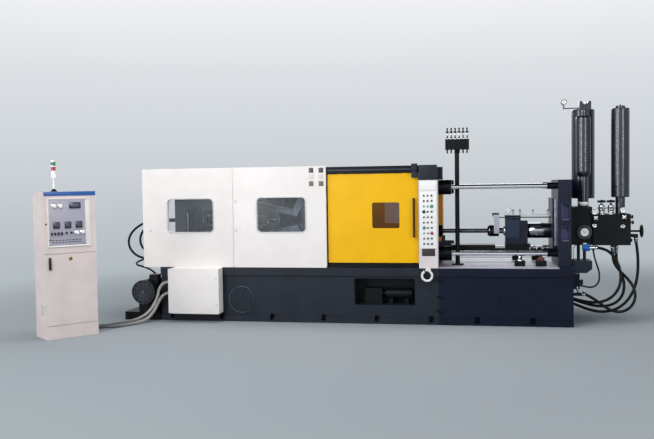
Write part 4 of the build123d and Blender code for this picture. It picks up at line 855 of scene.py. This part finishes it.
def dressRails(r):
    strips, brackets, heads, nuts = newMeshes(4)
    face, front = r["face"], r["face"] + r["proud"]
    fine, eased, middling = r["edges"]
    for side in (-1, 1):
        sideSlab(strips, side, face, face + r["stripProud"], *r["strip"], fine)
        sideSlab(brackets, side, face, front, *r["bracket"], eased)
        sideSlab(brackets, side, face + r["lowerSunk"], front, *r["lower"], eased)
        for x in r["nutX"]:
            for z in r["nutZ"]:
                for form in ("washer", "hexNut"):
                    formed(nuts, form, (x, side * front, z), (0, side, 0))
        sideSlab(heads, side, *r["headFace"], *r["head"], middling)
    finishPiece("rail_strips", strips, "stripSlate")
    finishPiece("rail_brackets", brackets, "headGrey")
    finishPiece("rail_bolts", nuts, "blackOxide")
    finishPiece("head_covers", heads, "headGrey")


dressRails(rails)
print("rails dressed")


# bases: manhole ring, lighter as a painted highlight, and bolts
bases = {
    "half": 0.703, "tabs": (0.168, 0.334, 0.525), "tabX": (0.0, 0.040), "tabScrew": 0.009,
    "coverScrew": 0.008, "screwCircle": 0.86, "screws": 8,
}


def dressBases(b):
    ring, bolts = newMeshes(2)
    low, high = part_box("manhole_cover")
    centre = Vector(((low[0] + high[0]) / 2, low[1], (low[2] + high[2]) / 2))
    radius = (high[0] - low[0]) / 2
    formed(ring, "manholeRing", centre, toFront, radius)
    for k in range(b["screws"]):
        seat = centre + inPlane((k + 0.5) * 360 / b["screws"]) * b["screwCircle"] * radius
        formed(bolts, "capScrew", seat, toFront, b["coverScrew"], b["coverScrew"])
    for height in b["tabs"]:
        for x in b["tabX"]:
            formed(bolts, "capScrew", (x, -b["half"], height), toFront, b["tabScrew"], b["tabScrew"])
    finishPiece("manhole_highlight_ring", ring, "rimHighlight")
    finishPiece("base_bolts", bolts, "blackOxide")


dressBases(bases)
print("bases dressed")


# terminal box: folded lid with two latches
terminal = {"latchZ": (0.22, 0.56), "latchIn": 0.035, "lidIn": 0.006, "proud": 0.003, "sunk": 0.001, "edge": 0.0025}


def dressTerminal(t):
    low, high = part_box("terminal_box")
    lid, latches = newMeshes(2)
    inset, front = t["lidIn"], low[1] - t["proud"]
    x, z = ((low[k] + inset, high[k] - inset) for k in (0, 2))
    block(lid, x, (front, low[1] + t["sunk"]), z, t["edge"])
    for z in t["latchZ"]:
        formed(latches, "boxLatch", (high[0] - t["latchIn"], front, z), toFront)
    finishPiece("terminal_lid", lid, "guardWhite")
    finishPiece("terminal_latches", latches, "zincPlate")


dressTerminal(terminal)
print("terminal box dressed")


# pump motor: fan grille, cooling ribs and a lifting eye
motor = {
    "axis": (-3.663, 0, 0.372), "radius": 0.130, "front": -0.850, "ribs": (-0.765, -0.455), "ribSize": (0.004, 0.014),
    "ribSeat": 0.135, "lowest": -0.35, "rings": (0.030, 0.052, 0.074, 0.096, 0.118), "ringSize": (0.003, 0.002, 0.003),
    "spokes": (0.020, 0.143), "spokeSize": (0.004, 0.003), "spokeProud": 0.0015, "eyeY": -0.60, "eyeRise": 0.028,
    "eyeRadius": 0.020, "eyeThick": 0.005, "spokeStep": 30, "ribStep": 12,
}


def dressMotor(m):
    grille, ribs, eye = newMeshes(3)
    axis = Vector(m["axis"])
    seat = axis + Vector((0, m["front"], 0))
    outer, inner, high = m["ringSize"]
    for r in m["rings"]:
        turned(grille, seat, toFront, [(r - outer, 0), (r - inner, high), (r + inner, high), (r + outer, 0)], 48)
    formed(grille, "fanHub", seat, toFront)
    formed(grille, "fanRim", seat, toFront)
    proud = Vector((0, -m["spokeProud"], 0))
    for a in range(0, 360, m["spokeStep"]):
        spoke = inPlane(a)
        start, stop = (seat + spoke * reach + proud for reach in m["spokes"])
        bar(grille, start, stop, *m["spokeSize"])
    for a in range(m["ribStep"] // 2, 360, m["ribStep"]):
        out = inPlane(a)
        if out.z >= m["lowest"]:
            start, stop = (axis + out * m["ribSeat"] + Vector((0, y, 0)) for y in m["ribs"])
            bar(ribs, start, stop, *m["ribSize"], out)
    top = axis + Vector((0, m["eyeY"], m["radius"]))
    formed(eye, "eyeFoot", top, toTop)
    loop = [top + Vector((0, 0, m["eyeRise"])) + m["eyeRadius"] * inPlane(a) for a in range(-90, 271, 30)]
    bentPipe(eye, loop, m["eyeThick"], 10, 3)
    finishPiece("fan_grille", grille, "grilleGrey")
    finishPiece("motor_ribs", ribs, "motorBlack")
    finishPiece("lifting_eye", eye, "blackOxide")


dressMotor(motor)
print("motor dressed")


# injection unit: painted light in the pockets (lighter lilac floors and bright lower lips), flange strip, block face
# and the ground tube over the barrel between its flanges
injection = {
    "pocketX": (1.427, 1.510), "pockets": ((1.227, 1.415), (0.980, 1.145)), "floorY": (0.390, 0.394), "frameY": 0.468,
    "inset": 0.001, "rim": (0.012, 0.010, 0.003), "lipY": (0.390, 0.466), "lipZ": (0.0005, 0.004),
    "strip": ((1.357, 1.384), (0.915, 1.476)), "stripY": (0.300, 0.3015),
    "block": ((0.803, 0.958), (1.000, 1.235)), "blockY": (0.119, 0.123),
    "cap": ((0.786, -0.123, 1.252), (0.976, 0.123, 1.278)), "barrel": (1.0565, 0, 1.080), "barrelLength": 0.278,
    "barrelRadius": (0.0926, 0.0940), "barrelEdge": 0.0014,
    "edges": {"floor": 0.0015, "lip": 0.001, "strip": 0.0005, "block": 0.0025, "cap": 0.002},
}


def dressInjection(i):
    floors, rims, strip, face, cap, lips, tube = newMeshes(7)
    x = (i["pocketX"][0] + i["inset"], i["pocketX"][1] - i["inset"])
    corner, width, proud = i["rim"]
    edges = i["edges"]
    for side in (-1, 1):
        for low, high in i["pockets"]:
            # lighter lilac floors: painted light inside the pockets
            sideSlab(floors, side, *i["floorY"], x, (low + i["inset"], high - i["inset"]), edges["floor"])
            windowBead(rims, i["pocketX"], (low, high), corner, side * i["frameY"], side, width, proud)
            # bright bar along each pocket's lower lip: painted highlight
            sideSlab(lips, side, *i["lipY"], x, (low + i["lipZ"][0], low + i["lipZ"][1]), edges["lip"])
        sideSlab(strip, side, *i["stripY"], *i["strip"], edges["strip"])
        sideSlab(face, side, *i["blockY"], *i["block"], edges["block"])
    slab(cap, *i["cap"], edges["cap"])
    finishPiece("frame_pocket_lit_floors", floors, "litPocketLilac")
    finishPiece("frame_pocket_rims", rims, "slateFace")
    finishPiece("frame_pocket_lip_highlights", lips, "panelLilac")
    (inner, outer), edge, length = i["barrelRadius"], i["barrelEdge"], i["barrelLength"]
    turned(tube, i["barrel"], toRight, [(inner, 0), (outer, edge), (outer, length - edge), (inner, length)], 64)
    finishPiece("barrel_tube", tube, "barrelSteel")
    finishPiece("flange_edges", strip, "milledSteel")
    finishPiece("block_faces", face, "slateFace")
    finishPiece("block_cap", cap, "blockNavy")


dressInjection(injection)
print("injection unit dressed")


# shot rod and its block: follower arm, coupling rings, gland, gauge, switch plungers and drain cocks
shot = {
    "arm": ((0.653, -0.164, 1.053), (0.715, -0.148, 1.290)), "tip": ((0.630, -0.167, 1.286), (0.712, -0.145, 1.306)),
    "pin": (0.640, -0.156, 1.262), "axis": 1.080, "rings": ((0.597, 0.006), (0.645, 0.004), (0.704, 0.008)),
    "ringRadius": (0.0705, 0.0725), "ringEdge": 0.001, "gland": 0.789, "gauge": (0.828, -0.105, 1.332),
    "gaugeSize": (0.033, 0.022), "stem": (0.828, -0.115, 1.274), "plungers": (0.881, 0.964, 1.118, 1.295),
    "plungerSeat": (-0.150, 1.325), "cocks": (1.085, 1.165, 1.235), "cockSeat": (-0.118, 0.868),
    "lever": (0.055, -0.004), "leverRise": (0.034, 0.022, 0.034), "leverSize": (0.011, 0.004), "leverOut": 0.040,
    "armEdge": 0.002, "tipEdge": 0.003,
}


def dressShot(s):
    arm, tip, rings, gland, stem, plungers, cocks, levers = newMeshes(8)
    slab(arm, *s["arm"], s["armEdge"])
    slab(tip, *s["tip"], s["tipEdge"])
    formed(tip, "tipPin", s["pin"], toTop)
    finishPiece("follower_arm", arm, "panelLilac", "shot")
    finishPiece("follower_tip", tip, "blackOxide", "shot")
    (inner, outer), edge = s["ringRadius"], s["ringEdge"]
    for x, width in s["rings"]:
        profile = [(inner, 0), (outer, edge), (outer, width - edge), (inner, width)]
        turned(rings, (x, 0, s["axis"]), toRight, profile, 48)
    finishPiece("coupling_rings", rings, "zincPlate", "shot")
    formed(gland, "rodGland", (s["gland"], 0, s["axis"]), toLeft)
    finishPiece("rod_gland", gland, "zincPlate")
    dialGauge("block_gauge", s["gauge"], toFront, *s["gaugeSize"], "zincPlate")
    formed(stem, "gaugeStem", s["stem"], toTop)
    finishPiece("block_gauge_stem", stem, "zincPlate")
    for x in s["plungers"]:
        formed(plungers, "plunger", (x, *s["plungerSeat"]), toTop)
    finishPiece("switch_plungers", plungers, "blackOxide")
    for x, rise in zip(s["cocks"], s["leverRise"]):
        seat = Vector((x, *s["cockSeat"]))
        formed(cocks, "drainCock", seat, toFront)
        knob = seat - Vector((0, s["leverOut"], 0))
        bar(levers, knob, knob + Vector((*s["lever"], rise)), *s["leverSize"])
    finishPiece("drain_cocks", cocks, "zincPlate")
    finishPiece("drain_cock_levers", levers, "blackOxide")


dressShot(shot)
print("shot rod dressed")


# screw jacks: ground screws and dark feet, the second pair with red lock blocks
jacks = {
    "pairs": ((0.949, "hardChrome"), (1.194, "primerRed")), "inFromSide": 0.050, "footHigh": 0.060,
    "footHalf": (0.062, 0.052), "nut": (0.032, 0.0256), "nutHigh": (0.016, 0.019), "screw": 0.0184, "topGap": 0.004,
    "lockHalf": 0.040, "lockZ": (0.012, 0.036), "lockEdge": 0.004, "footEdge": 0.003, "footLap": 0.002, "seat": 0.001,
}


def dressJacks(j):
    low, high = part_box("screw_jacks")
    feet, screws = bmesh.new(), {finish: bmesh.new() for x, finish in j["pairs"]}
    foot = low[2] + j["footHigh"]
    across, deep = j["footHalf"]
    (wide, narrow), (rim, top), thin, half = j["nut"], j["nutHigh"], j["screw"], j["lockHalf"]
    profile = [(wide, 0), (wide, rim), (narrow, top), (thin, top), (thin, high[2] - foot - j["topGap"])]
    for x, finish in j["pairs"]:
        for y in (low[1] + j["inFromSide"], high[1] - j["inFromSide"]):
            block(feet, about(x, across), about(y, deep), (low[2], foot + j["footLap"]), j["footEdge"])
            turned(screws[finish], (x, y, foot + j["seat"]), toTop, profile, 24)
            if finish == "primerRed":
                lock = (foot + j["lockZ"][0], foot + j["lockZ"][1])
                block(screws[finish], about(x, half), about(y, half), lock, j["lockEdge"])
    finishPiece("jack_feet", feet, "footBlack")
    for finish, bm in screws.items():
        finishPiece("jack_screws_" + finish, bm, finish)


dressJacks(jacks)
print("jacks dressed")


# bottles and valve stack: the large dial, the neck's white collar, a gauge and the filling valves
bottles = {
    "dial": (1.716, -0.190, 1.067), "dialSize": (0.056, 0.009), "dialSunk": 0.002, "neck": (1.716, -0.060, 1.386),
    "gauge": (1.489, -0.085, 2.640), "gaugeSize": (0.035, 0.012), "post": (1.7355, -0.060, 2.532),
    "cap": (1.7355, -0.060, 2.598), "nub": (2.149, -0.020, 2.577),
}


def dressBottles(b):
    ring, rim, neck, pole, cap = newMeshes(5)
    formed(ring, "stackRing", b["dial"], toFront)
    formed(rim, "stackRim", b["dial"], toFront)
    finishPiece("stack_dial_ring", ring, "dialRing")
    finishPiece("stack_dial_rim", rim, "capBlack")
    x, y, z = b["dial"]
    dialGauge("stack_dial", (x, y + b["dialSunk"], z), toFront, *b["dialSize"], "capBlack")
    formed(neck, "neckCollar", b["neck"], toTop)
    finishPiece("neck_collar", neck, "brightWhite")
    dialGauge("bottle_gauge", b["gauge"], toFront, *b["gaugeSize"])
    formed(pole, "capPost", b["post"], toTop)
    formed(cap, "fillingCap", b["cap"], toTop)
    formed(pole, "fillingNub", b["nub"], toTop)
    finishPiece("filling_valves", pole, "blackOxide")
    finishPiece("filling_cap", cap, "brightWhite")


dressBottles(bottles)
print("bottles dressed")


# valve block: gauges on short stems, white star knobs, eye fittings, needle valves on top and knobs on the right
valveBlock = {
    "face": -0.200, "gauges": (("a", 1.829, 1.311), ("b", 2.149, 1.330)), "gaugeSize": (0.034, 0.024),
    "gaugeOut": 0.012, "stemHalf": 0.012, "stemY": (-0.226, -0.199), "stemZ": (1.240, -0.030), "stemEdge": 0.003,
    "stars": ((1.838, 1.238), (2.159, 1.248)), "starOut": 0.048, "starReach": 0.027, "starThick": 0.014,
    "hubSunk": 0.010, "eyes": ((1.829, 1.144), (2.151, 1.136)), "needles": ((1.922, -0.110), (2.028, -0.110)),
    "needleZ": 1.282, "ribZ": 1.352, "ribReach": 0.047, "ribSize": (0.015, 0.018), "wheelZ": 1.442,
    "right": 2.243, "knobs": ((-0.100, 1.245), (-0.140, 1.180), (-0.030, 0.960)), "knobOut": 0.018,
}


def dressValveBlock(v):
    stems, stars, eyes, bodies, wheels, knobs, nuts = newMeshes(7)
    half = v["stemHalf"]
    for letter, x, z in v["gauges"]:
        dialGauge("block_gauge_" + letter, (x, v["face"] - v["gaugeOut"], z), toFront, *v["gaugeSize"], "zincPlate")
        block(stems, about(x, half), v["stemY"], (v["stemZ"][0], z + v["stemZ"][1]), v["stemEdge"])
    for x, z in v["stars"]:
        seat = Vector((x, v["face"], z))
        formed(stems, "starStem", seat, toFront)
        middle = seat - Vector((0, v["starOut"], 0))
        for a in (45, 135):
            arm = inPlane(a) * v["starReach"]
            bar(stars, middle - arm, middle + arm, v["starThick"], v["starThick"])
        formed(stars, "starHub", middle + Vector((0, v["hubSunk"], 0)), toFront)
    for x, z in v["eyes"]:
        formed(eyes, "eyeFitting", (x, v["face"], z), toFront)
    finishPiece("block_gauge_stems", stems, "blackOxide")
    finishPiece("star_knobs", stars, "brightWhite")
    finishPiece("eye_fittings", eyes, "zincPlate")
    for x, y in v["needles"]:
        formed(bodies, "needleValve", (x, y, v["needleZ"]), toTop)
        middle = Vector((x, y, v["ribZ"]))
        for a in (0, 60, 120):
            arm = inPlane(a, False) * v["ribReach"]
            bar(bodies, middle - arm, middle + arm, *v["ribSize"], toTop)
        formed(wheels, "needleWheel", (x, y, v["wheelZ"]), toTop)
    finishPiece("needle_valves", bodies, "zincPlate")
    finishPiece("needle_wheels", wheels, "blackOxide")
    for y, z in v["knobs"]:
        seat = Vector((v["right"], y, z))
        formed(nuts, "sideNut", seat, toRight)
        formed(knobs, "sideKnob", seat + Vector((v["knobOut"], 0, 0)), toRight)
    finishPiece("side_valve_knobs", knobs, "capBlack")
    finishPiece("side_valve_nuts", nuts, "zincPlate")


dressValveBlock(valveBlock)
print("valve block dressed")


# under the block: blue shut-off valve with its chromed union, bright pipe, ferrules, elbow sleeve and drain valve
pipework = {
    "blue": ((1.687, -0.243, 0.842), (1.773, -0.158, 0.928)), "blueEdge": 0.010, "plug": (1.730, -0.243, 0.881),
    "union": (1.773, -0.200, 0.881), "cap": (1.716, -0.200, 0.927), "brightRadius": 0.007, "sleeveRadius": 0.012,
    "bright": ((1.640, -0.140, 0.914), (1.610, -0.142, 0.900), (1.592, -0.143, 0.858), (1.590, -0.143, 0.800),
               (1.603, -0.142, 0.742)),
    "ferrules": (("longFerrule", (2.091, -0.100, 0.812), toTop), ("midFerrule", (2.040, -0.170, 0.826), toTop),
                 ("outerFerrule", (2.318, -0.100, 0.944), toTop), ("elbowFerrule", (1.655, -0.400, 0.346), toRight)),
    "collar": (1.620, -0.300, 0.577), "knob": (1.640, -0.300, 0.480),
    "sleeve": ((1.612, -0.362, 0.430), (1.612, -0.376, 0.395), (1.624, -0.392, 0.362), (1.658, -0.400, 0.348)),
}


def dressPipework(p):
    blue, union, cap, pipe, ferrules, collar, knob, sleeve = newMeshes(8)
    slab(blue, *p["blue"], p["blueEdge"])
    formed(blue, "shutOffPlug", p["plug"], toFront)
    formed(union, "union", p["union"], toRight)
    formed(cap, "shutOffCap", p["cap"], toTop)
    bentPipe(pipe, p["bright"], p["brightRadius"])
    finishPiece("shut_off_valve", blue, "valveBlue")
    finishPiece("shut_off_union", union, "hardChrome")
    finishPiece("shut_off_cap", cap, "brightWhite")
    finishPiece("bright_pipe", pipe, "brightWhite")
    for ferrule in p["ferrules"]:
        formed(ferrules, *ferrule)
    formed(collar, "drainCollar", p["collar"], toTop)
    formed(knob, "drainKnob", p["knob"], toRight)
    bentPipe(sleeve, p["sleeve"], p["sleeveRadius"])
    finishPiece("hose_ferrules", ferrules, "brightEdge")
    finishPiece("drain_collar", collar, "brightWhite")
    finishPiece("drain_knob", knob, "slateFace")
    finishPiece("elbow_sleeve", sleeve, "brightEdge")


dressPipework(pipework)
print("pipework dressed")


# spray manifold: bright needle stems over its valves
spray = {"x": (0.075, 0.360), "count": 6, "y": -0.300, "stemZ": 2.213, "knobZ": 2.338}


def dressSpray(s):
    stems, knobs = newMeshes(2)
    pitch = (s["x"][1] - s["x"][0]) / s["count"]
    for k in range(s["count"]):
        x = s["x"][0] + pitch * (k + 0.5)
        formed(stems, "sprayStem", (x, s["y"], s["stemZ"]), toTop)
        formed(knobs, "sprayKnob", (x, s["y"], s["knobZ"]), toTop)
    finishPiece("spray_stems", stems, "zincPlate")
    finishPiece("spray_knobs", knobs, "capBlack")


dressSpray(spray)
print("spray manifold dressed")


# control cabinet, in its own square frame turned into place: x along the front, y inwards
cabinet = {
    "corner": (-4.235, -2.134, 0.0), "turn": 50.5, "band": ((0.007, -0.004, 1.603), (0.600, 0.004, 1.650)),
    "window": ((0.052, 1.040), (0.520, 1.565)), "plateIn": 0.002, "plateY": (-0.0025, 0.0006),
    "fold": ((0.012, 0.0005), (0.010, -0.008), (0.004, -0.009), (-0.006, -0.0022)),
    "slopeX": (-0.046, -0.003), "slopeY": (-0.0045, -0.0020), "slopeIn": 0.005, "proud": 0.0135, "seat": 0.011,
    "lamps": ((0.118, 1.490), (0.190, 1.490), (0.374, 1.186), (0.440, 1.190)),
    "display": ((0.290, 0.002, 1.460), (0.420, 0.012, 1.528)),
    "screen": ((0.306, 0.0008, 1.476), (0.404, 0.003, 1.514)),
    "meters": (0.138, 0.268, 0.396), "meterZ": 1.275, "meterHalf": 0.037, "meterY": (0.000, 0.012),
    "dialShares": (0.7, 0.55, 0.75), "dialY": (-0.0015, 0.001),
    "switches": ((0.084, 1.180), (0.121, 1.180), (0.158, 1.180), (0.196, 1.180)), "gripHalf": (0.004, 0.020),
    "gripY": (-0.006, 0.004), "buttons": ((0.252, 1.184), (0.308, 1.186)), "smallButton": (0.062, 1.112),
    "rows": (1.082, 1.106), "rowStart": 0.095, "rowPitch": 0.039, "rowCount": 9, "rowHalf": (0.012, 0.005),
    "rowY": (0.0098, 0.0116), "lock": (0.023, 0.0135, 1.290), "screwX": (0.062, 0.464), "screwZ": (1.050, 1.555),
    "screw": 0.004, "handle": ((0.0395, -0.0148, 0.778), (0.0685, 0.0005, 0.917)),
    "grip": ((0.046, -0.026, 0.786), (0.062, -0.013, 0.879)), "pivot": (0.054, -0.0145, 0.887),
    "key": (0.292, 0.0, 0.893), "slot": ((0.286, -0.004, 0.890), (0.299, -0.004, 0.897)), "slotSize": (0.004, 0.006),
    "vent": ((-0.002, 0.062, 0.262), (0.0005, 0.175, 0.385)), "slats": 9, "slatX": (-0.0050, -0.001),
    "slatY": (0.072, 0.165), "slatStart": 0.274, "slatRun": 0.105, "slatHigh": 0.006,
    "lampFoot": (0.185, 0.165, 1.650),
    "edges": {"band": 0.0015, "plate": 0.001, "slope": 0.002, "display": 0.003, "screen": 0.0006, "meter": 0.004,
              "dial": 0.001, "grip": 0.002, "row": 0.0005, "handle": 0.006, "handleGrip": 0.005, "vent": 0.0008,
              "slat": 0.0015},
}


def dressCabinet(c):
    place = Matrix.Translation(c["corner"]) @ Matrix.Rotation(math.radians(c["turn"]), 4, "Z")
    band, plate, frame = newMeshes(3)
    edges = c["edges"]
    slab(band, *c["band"], edges["band"])
    finishPiece("cabinet_band", band, "bandBlue", place=place)
    # instrument plate a little proud of the front, in a folded frame whose right slope is wide and bright
    (x0, z0), (x1, z1) = c["window"]
    inset = c["plateIn"]
    block(plate, (x0 + inset, x1 - inset), c["plateY"], (z0 + inset, z1 - inset), edges["plate"])
    finishPiece("instrument_plate", plate, "panelLilac", place=place)
    loops = []
    for grow, y in c["fold"]:
        corners = ((x0 - grow, z0 - grow), (x1 + grow, z0 - grow), (x1 + grow, z1 + grow), (x0 - grow, z1 + grow))
        loops.append([frame.verts.new((x, y, z)) for x, z in corners])
    for outer, inner in zip(loops, loops[1:]):
        for k in range(4):
            after = (k + 1) % 4
            frame.faces.new((outer[k], outer[after], inner[after], inner[k]))
    slope, inset = (x1 + c["slopeX"][0], x1 + c["slopeX"][1]), c["slopeIn"]
    block(frame, slope, c["slopeY"], (z0 + inset, z1 - inset), edges["slope"])
    finishPiece("instrument_frame", frame, "bezelCream", place=place, crease=25)
    # instruments, measured from the plate's own face
    caps, bezels, dark, lit, squares = newMeshes(5)
    y = c["seat"]
    for x, z in c["lamps"]:
        formed(bezels, "lampBezel", (x, y, z), toFront)
        formed(caps, "lampCap", (x, y, z), toFront)
    slab(dark, *c["display"], edges["display"])
    slab(lit, *c["screen"], edges["screen"])
    half, z = c["meterHalf"], c["meterZ"]
    wide, under, over = (half * share for share in c["dialShares"])
    for x in c["meters"]:
        block(dark, about(x, half), c["meterY"], about(z, half), edges["meter"])
        block(squares, about(x, wide), c["dialY"], (z - under, z + over), edges["dial"])
    across, upright = c["gripHalf"]
    for x, z in c["switches"]:
        formed(dark, "rotarySwitch", (x, y, z), toFront)
        block(dark, about(x, across), c["gripY"], about(z, upright), edges["grip"])
    for x, z in c["buttons"]:
        formed(dark, "cabinetButton", (x, y, z), toFront)
    across, upright = c["rowHalf"]
    for z in c["rows"]:
        for k in range(c["rowCount"]):
            x = c["rowStart"] + c["rowPitch"] * k
            block(squares, about(x, across), c["rowY"], about(z, upright), edges["row"])
    formed(dark, "smallButton", (c["smallButton"][0], y, c["smallButton"][1]), toFront)
    formed(dark, "frontLock", c["lock"], toFront)
    for z in c["screwZ"]:
        for x in c["screwX"]:
            formed(dark, "capScrew", (x, y, z), toFront, c["screw"], c["screw"])
    proud = place @ Matrix.Translation((0, -c["proud"], 0))
    finishPiece("indicator_caps", caps, "capWhite", place=proud)
    finishPiece("indicator_bezels", bezels, "zincPlate", place=proud)
    cases = finishPiece("instrument_cases", dark, "screenDark", place=proud)
    finishPiece("display_screen", lit, "screenLit", place=proud)
    finishPiece("meter_screens", squares, "meterFace", place=proud)
    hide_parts("cabinet_instruments")
    # the swing handle and the key lock ride with the door
    handle, key, vent, foot = newMeshes(4)
    slab(handle, *c["handle"], edges["handle"])
    formed(handle, "handlePivot", c["pivot"], toFront)
    slab(handle, *c["grip"], edges["handleGrip"])
    finishPiece("swing_handle", handle, "capBlack", "cabinet_door", place=place)
    formed(key, "keyLock", c["key"], toFront)
    bar(key, *c["slot"], *c["slotSize"])
    finishPiece("door_lock", key, "brassKey", "cabinet_door", place=place)
    # louvred vent in the left side
    slab(vent, *c["vent"], edges["vent"])
    for k in range(c["slats"]):
        z = c["slatStart"] + k * c["slatRun"] / c["slats"]
        block(vent, c["slatX"], c["slatY"], (z, z + c["slatHigh"]), edges["slat"])
    finishPiece("side_vent", vent, "ventGrey", place=place)
    formed(foot, "lampFoot", c["lampFoot"], toTop)
    finishPiece("lamp_foot", foot, "capBlack", place=place)


dressCabinet(cabinet)
print("cabinet dressed")


# floor and light
stageSpec = {
    "size": 600.0, "near": 3500.0, "far": 9000.0, "floor": "#8b9297", "sky": "#dfe3e6", "skyStrength": 0.5,
    "drop": 0.0005, "reach": 10000.0, "skyLow": -0.17, "skyHigh": 0.51,
    "floorShades": ((0.0, "#c8ced3"), (0.33, "#bbc3c9"), (0.7, "#aeb7bb"), (1.0, "#a1abb3")),
    "skyShades": ((0.0, "#a1abb3"), (0.25, "#c8ced3"), (0.45, "#dce0e4"), (0.60, "#f4f4f7"), (0.78, "#e6e6ea"),
                  (0.90, "#5b6068"), (1.0, "#30343a")),
}


def seenDirectly(tree):
    # 1 for rays that carry the picture itself, also through glass and in reflections
    path = addNode(tree, "ShaderNodeLightPath").outputs
    seen = path["Is Camera Ray"]
    for ray in ("Is Transmission Ray", "Is Glossy Ray"):
        seen = addNode(tree, "ShaderNodeMath", {"operation": "MAXIMUM"}, {0: seen, 1: path[ray]}).outputs[0]
    return seen


def makeFloor(s):
    bm = bmesh.new()
    bmesh.ops.create_grid(bm, x_segments=1, y_segments=1, size=s["size"] / 2)
    mesh = bpy.data.meshes.new("studio_floor")
    bm.to_mesh(mesh)
    bm.free()
    # painted studio floor: it takes the object's shadow near by and fades into the backdrop's shades far off
    material, tree, shader, place = newFinish("studioFloor", s["floor"], 0.85, settings={"Specular IOR Level": 0.0})
    reach = addNode(tree, "ShaderNodeVectorMath", {"operation": "LENGTH"}, {0: place}).outputs["Value"]
    further = addNode(tree, "ShaderNodeMath", {"operation": "ADD", 1: s["reach"]}, {0: reach}).outputs[0]
    share = addNode(tree, "ShaderNodeMath", {"operation": "DIVIDE", 0: s["reach"]}, {1: further}).outputs[0]
    shade = shadeRamp(tree, share, s["floorShades"])
    glow = addNode(tree, "ShaderNodeEmission", {"Strength": 1.0}, {"Color": shade}).outputs[0]
    fade = addNode(tree, "ShaderNodeMapRange", {
        "interpolation_type": "SMOOTHSTEP", "From Min": s["near"], "From Max": s["far"]}, {"Value": reach}).outputs[0]
    seen = addNode(tree, "ShaderNodeMath", {"operation": "MULTIPLY"}, {0: fade, 1: seenDirectly(tree)}).outputs[0]
    mixed = addNode(tree, "ShaderNodeMixShader", None, {0: seen, 1: shader.outputs[0], 2: glow})
    tree.links.new(mixed.outputs[0], tree.nodes["Material Output"].inputs["Surface"])
    mesh.materials.append(material)
    floor = bpy.data.objects.new("studio_floor", mesh)
    floor.location = (0, 0, -s["drop"])
    bpy.context.scene.collection.objects.link(floor)


def makeSky(s):
    world = bpy.data.worlds.new("studioWorld")
    bpy.context.scene.world = world
    world.use_nodes = True
    tree = world.node_tree
    tree.nodes.clear()
    way = addNode(tree, "ShaderNodeTexCoord").outputs["Generated"]
    up = addNode(tree, "ShaderNodeSeparateXYZ", links={0: way}).outputs["Z"]
    share = addNode(tree, "ShaderNodeMapRange", {"From Min": s["skyLow"], "From Max": s["skyHigh"]}, {"Value": up})
    shade = shadeRamp(tree, share.outputs[0], s["skyShades"])
    dome = {"Color": linear(s["sky"]), "Strength": s["skyStrength"]}
    lit = addNode(tree, "ShaderNodeBackground", dome).outputs[0]
    plain = addNode(tree, "ShaderNodeBackground", {"Strength": 1.0}, {"Color": shade}).outputs[0]
    mixed = addNode(tree, "ShaderNodeMixShader", None, {0: seenDirectly(tree), 1: lit, 2: plain})
    addNode(tree, "ShaderNodeOutputWorld", None, {0: mixed.outputs[0]})


# lights: False lets a lamp show in reflections only; mirrored: False keeps it out of them
lamps = {
    "key_softbox": {"place": (-3.5, -7.5, 5.5), "aim": (-1.0, 0, 0.9), "size": (4.0, 3.0), "watts": 330},
    "fill_softbox": {"place": (5.5, -7.0, 3.6), "aim": (0.5, 0, 0.9), "size": (1.0, 4.5), "watts": 190},
    "top_softbox": {"place": (-0.8, -0.6, 6.5), "aim": (-0.8, 0, 0), "size": (7.0, 3.5), "watts": 330,
                    "mirrored": False},
    "left_softbox": {"place": (-10.0, -8.0, 3.2), "aim": (-4.2, -2.0, 1.0), "size": (2.5, 3.0), "watts": 240},
    "streak_softbox": {"place": (-4.6, -9.0, 3.0), "aim": (2.0, 0.0, 1.9), "size": (0.7, 4.5), "watts": 260,
                       "lights": False},
    "front_card": {"place": (-1.5, -14.0, 3.0), "aim": (-1.0, 0.0, 1.2), "size": (16.0, 9.0), "watts": 150,
                   "lights": False},
    "back_softbox": {"place": (-1.0, 7.5, 4.5), "aim": (-0.8, 0, 1.0), "size": (6.0, 2.5), "watts": 200},
}


def hangLamp(name, spec):
    light = bpy.data.lights.new(name, "AREA")
    light.shape = "RECTANGLE"
    light.size, light.size_y = spec["size"]
    light.energy = spec["watts"]
    lamp = bpy.data.objects.new(name, light)
    lamp.location = spec["place"]
    lamp.rotation_euler = (Vector(spec["aim"]) - Vector(spec["place"])).to_track_quat("-Z", "Y").to_euler()
    lamp.visible_glossy = spec.get("mirrored", True)
    lamp.visible_diffuse = spec.get("lights", True)
    bpy.context.scene.collection.objects.link(lamp)


makeFloor(stageSpec)
makeSky(stageSpec)
for name, spec in lamps.items():
    hangLamp(name, spec)
bpy.context.scene.view_settings.view_transform = "Standard"
print("stage and lamps set")
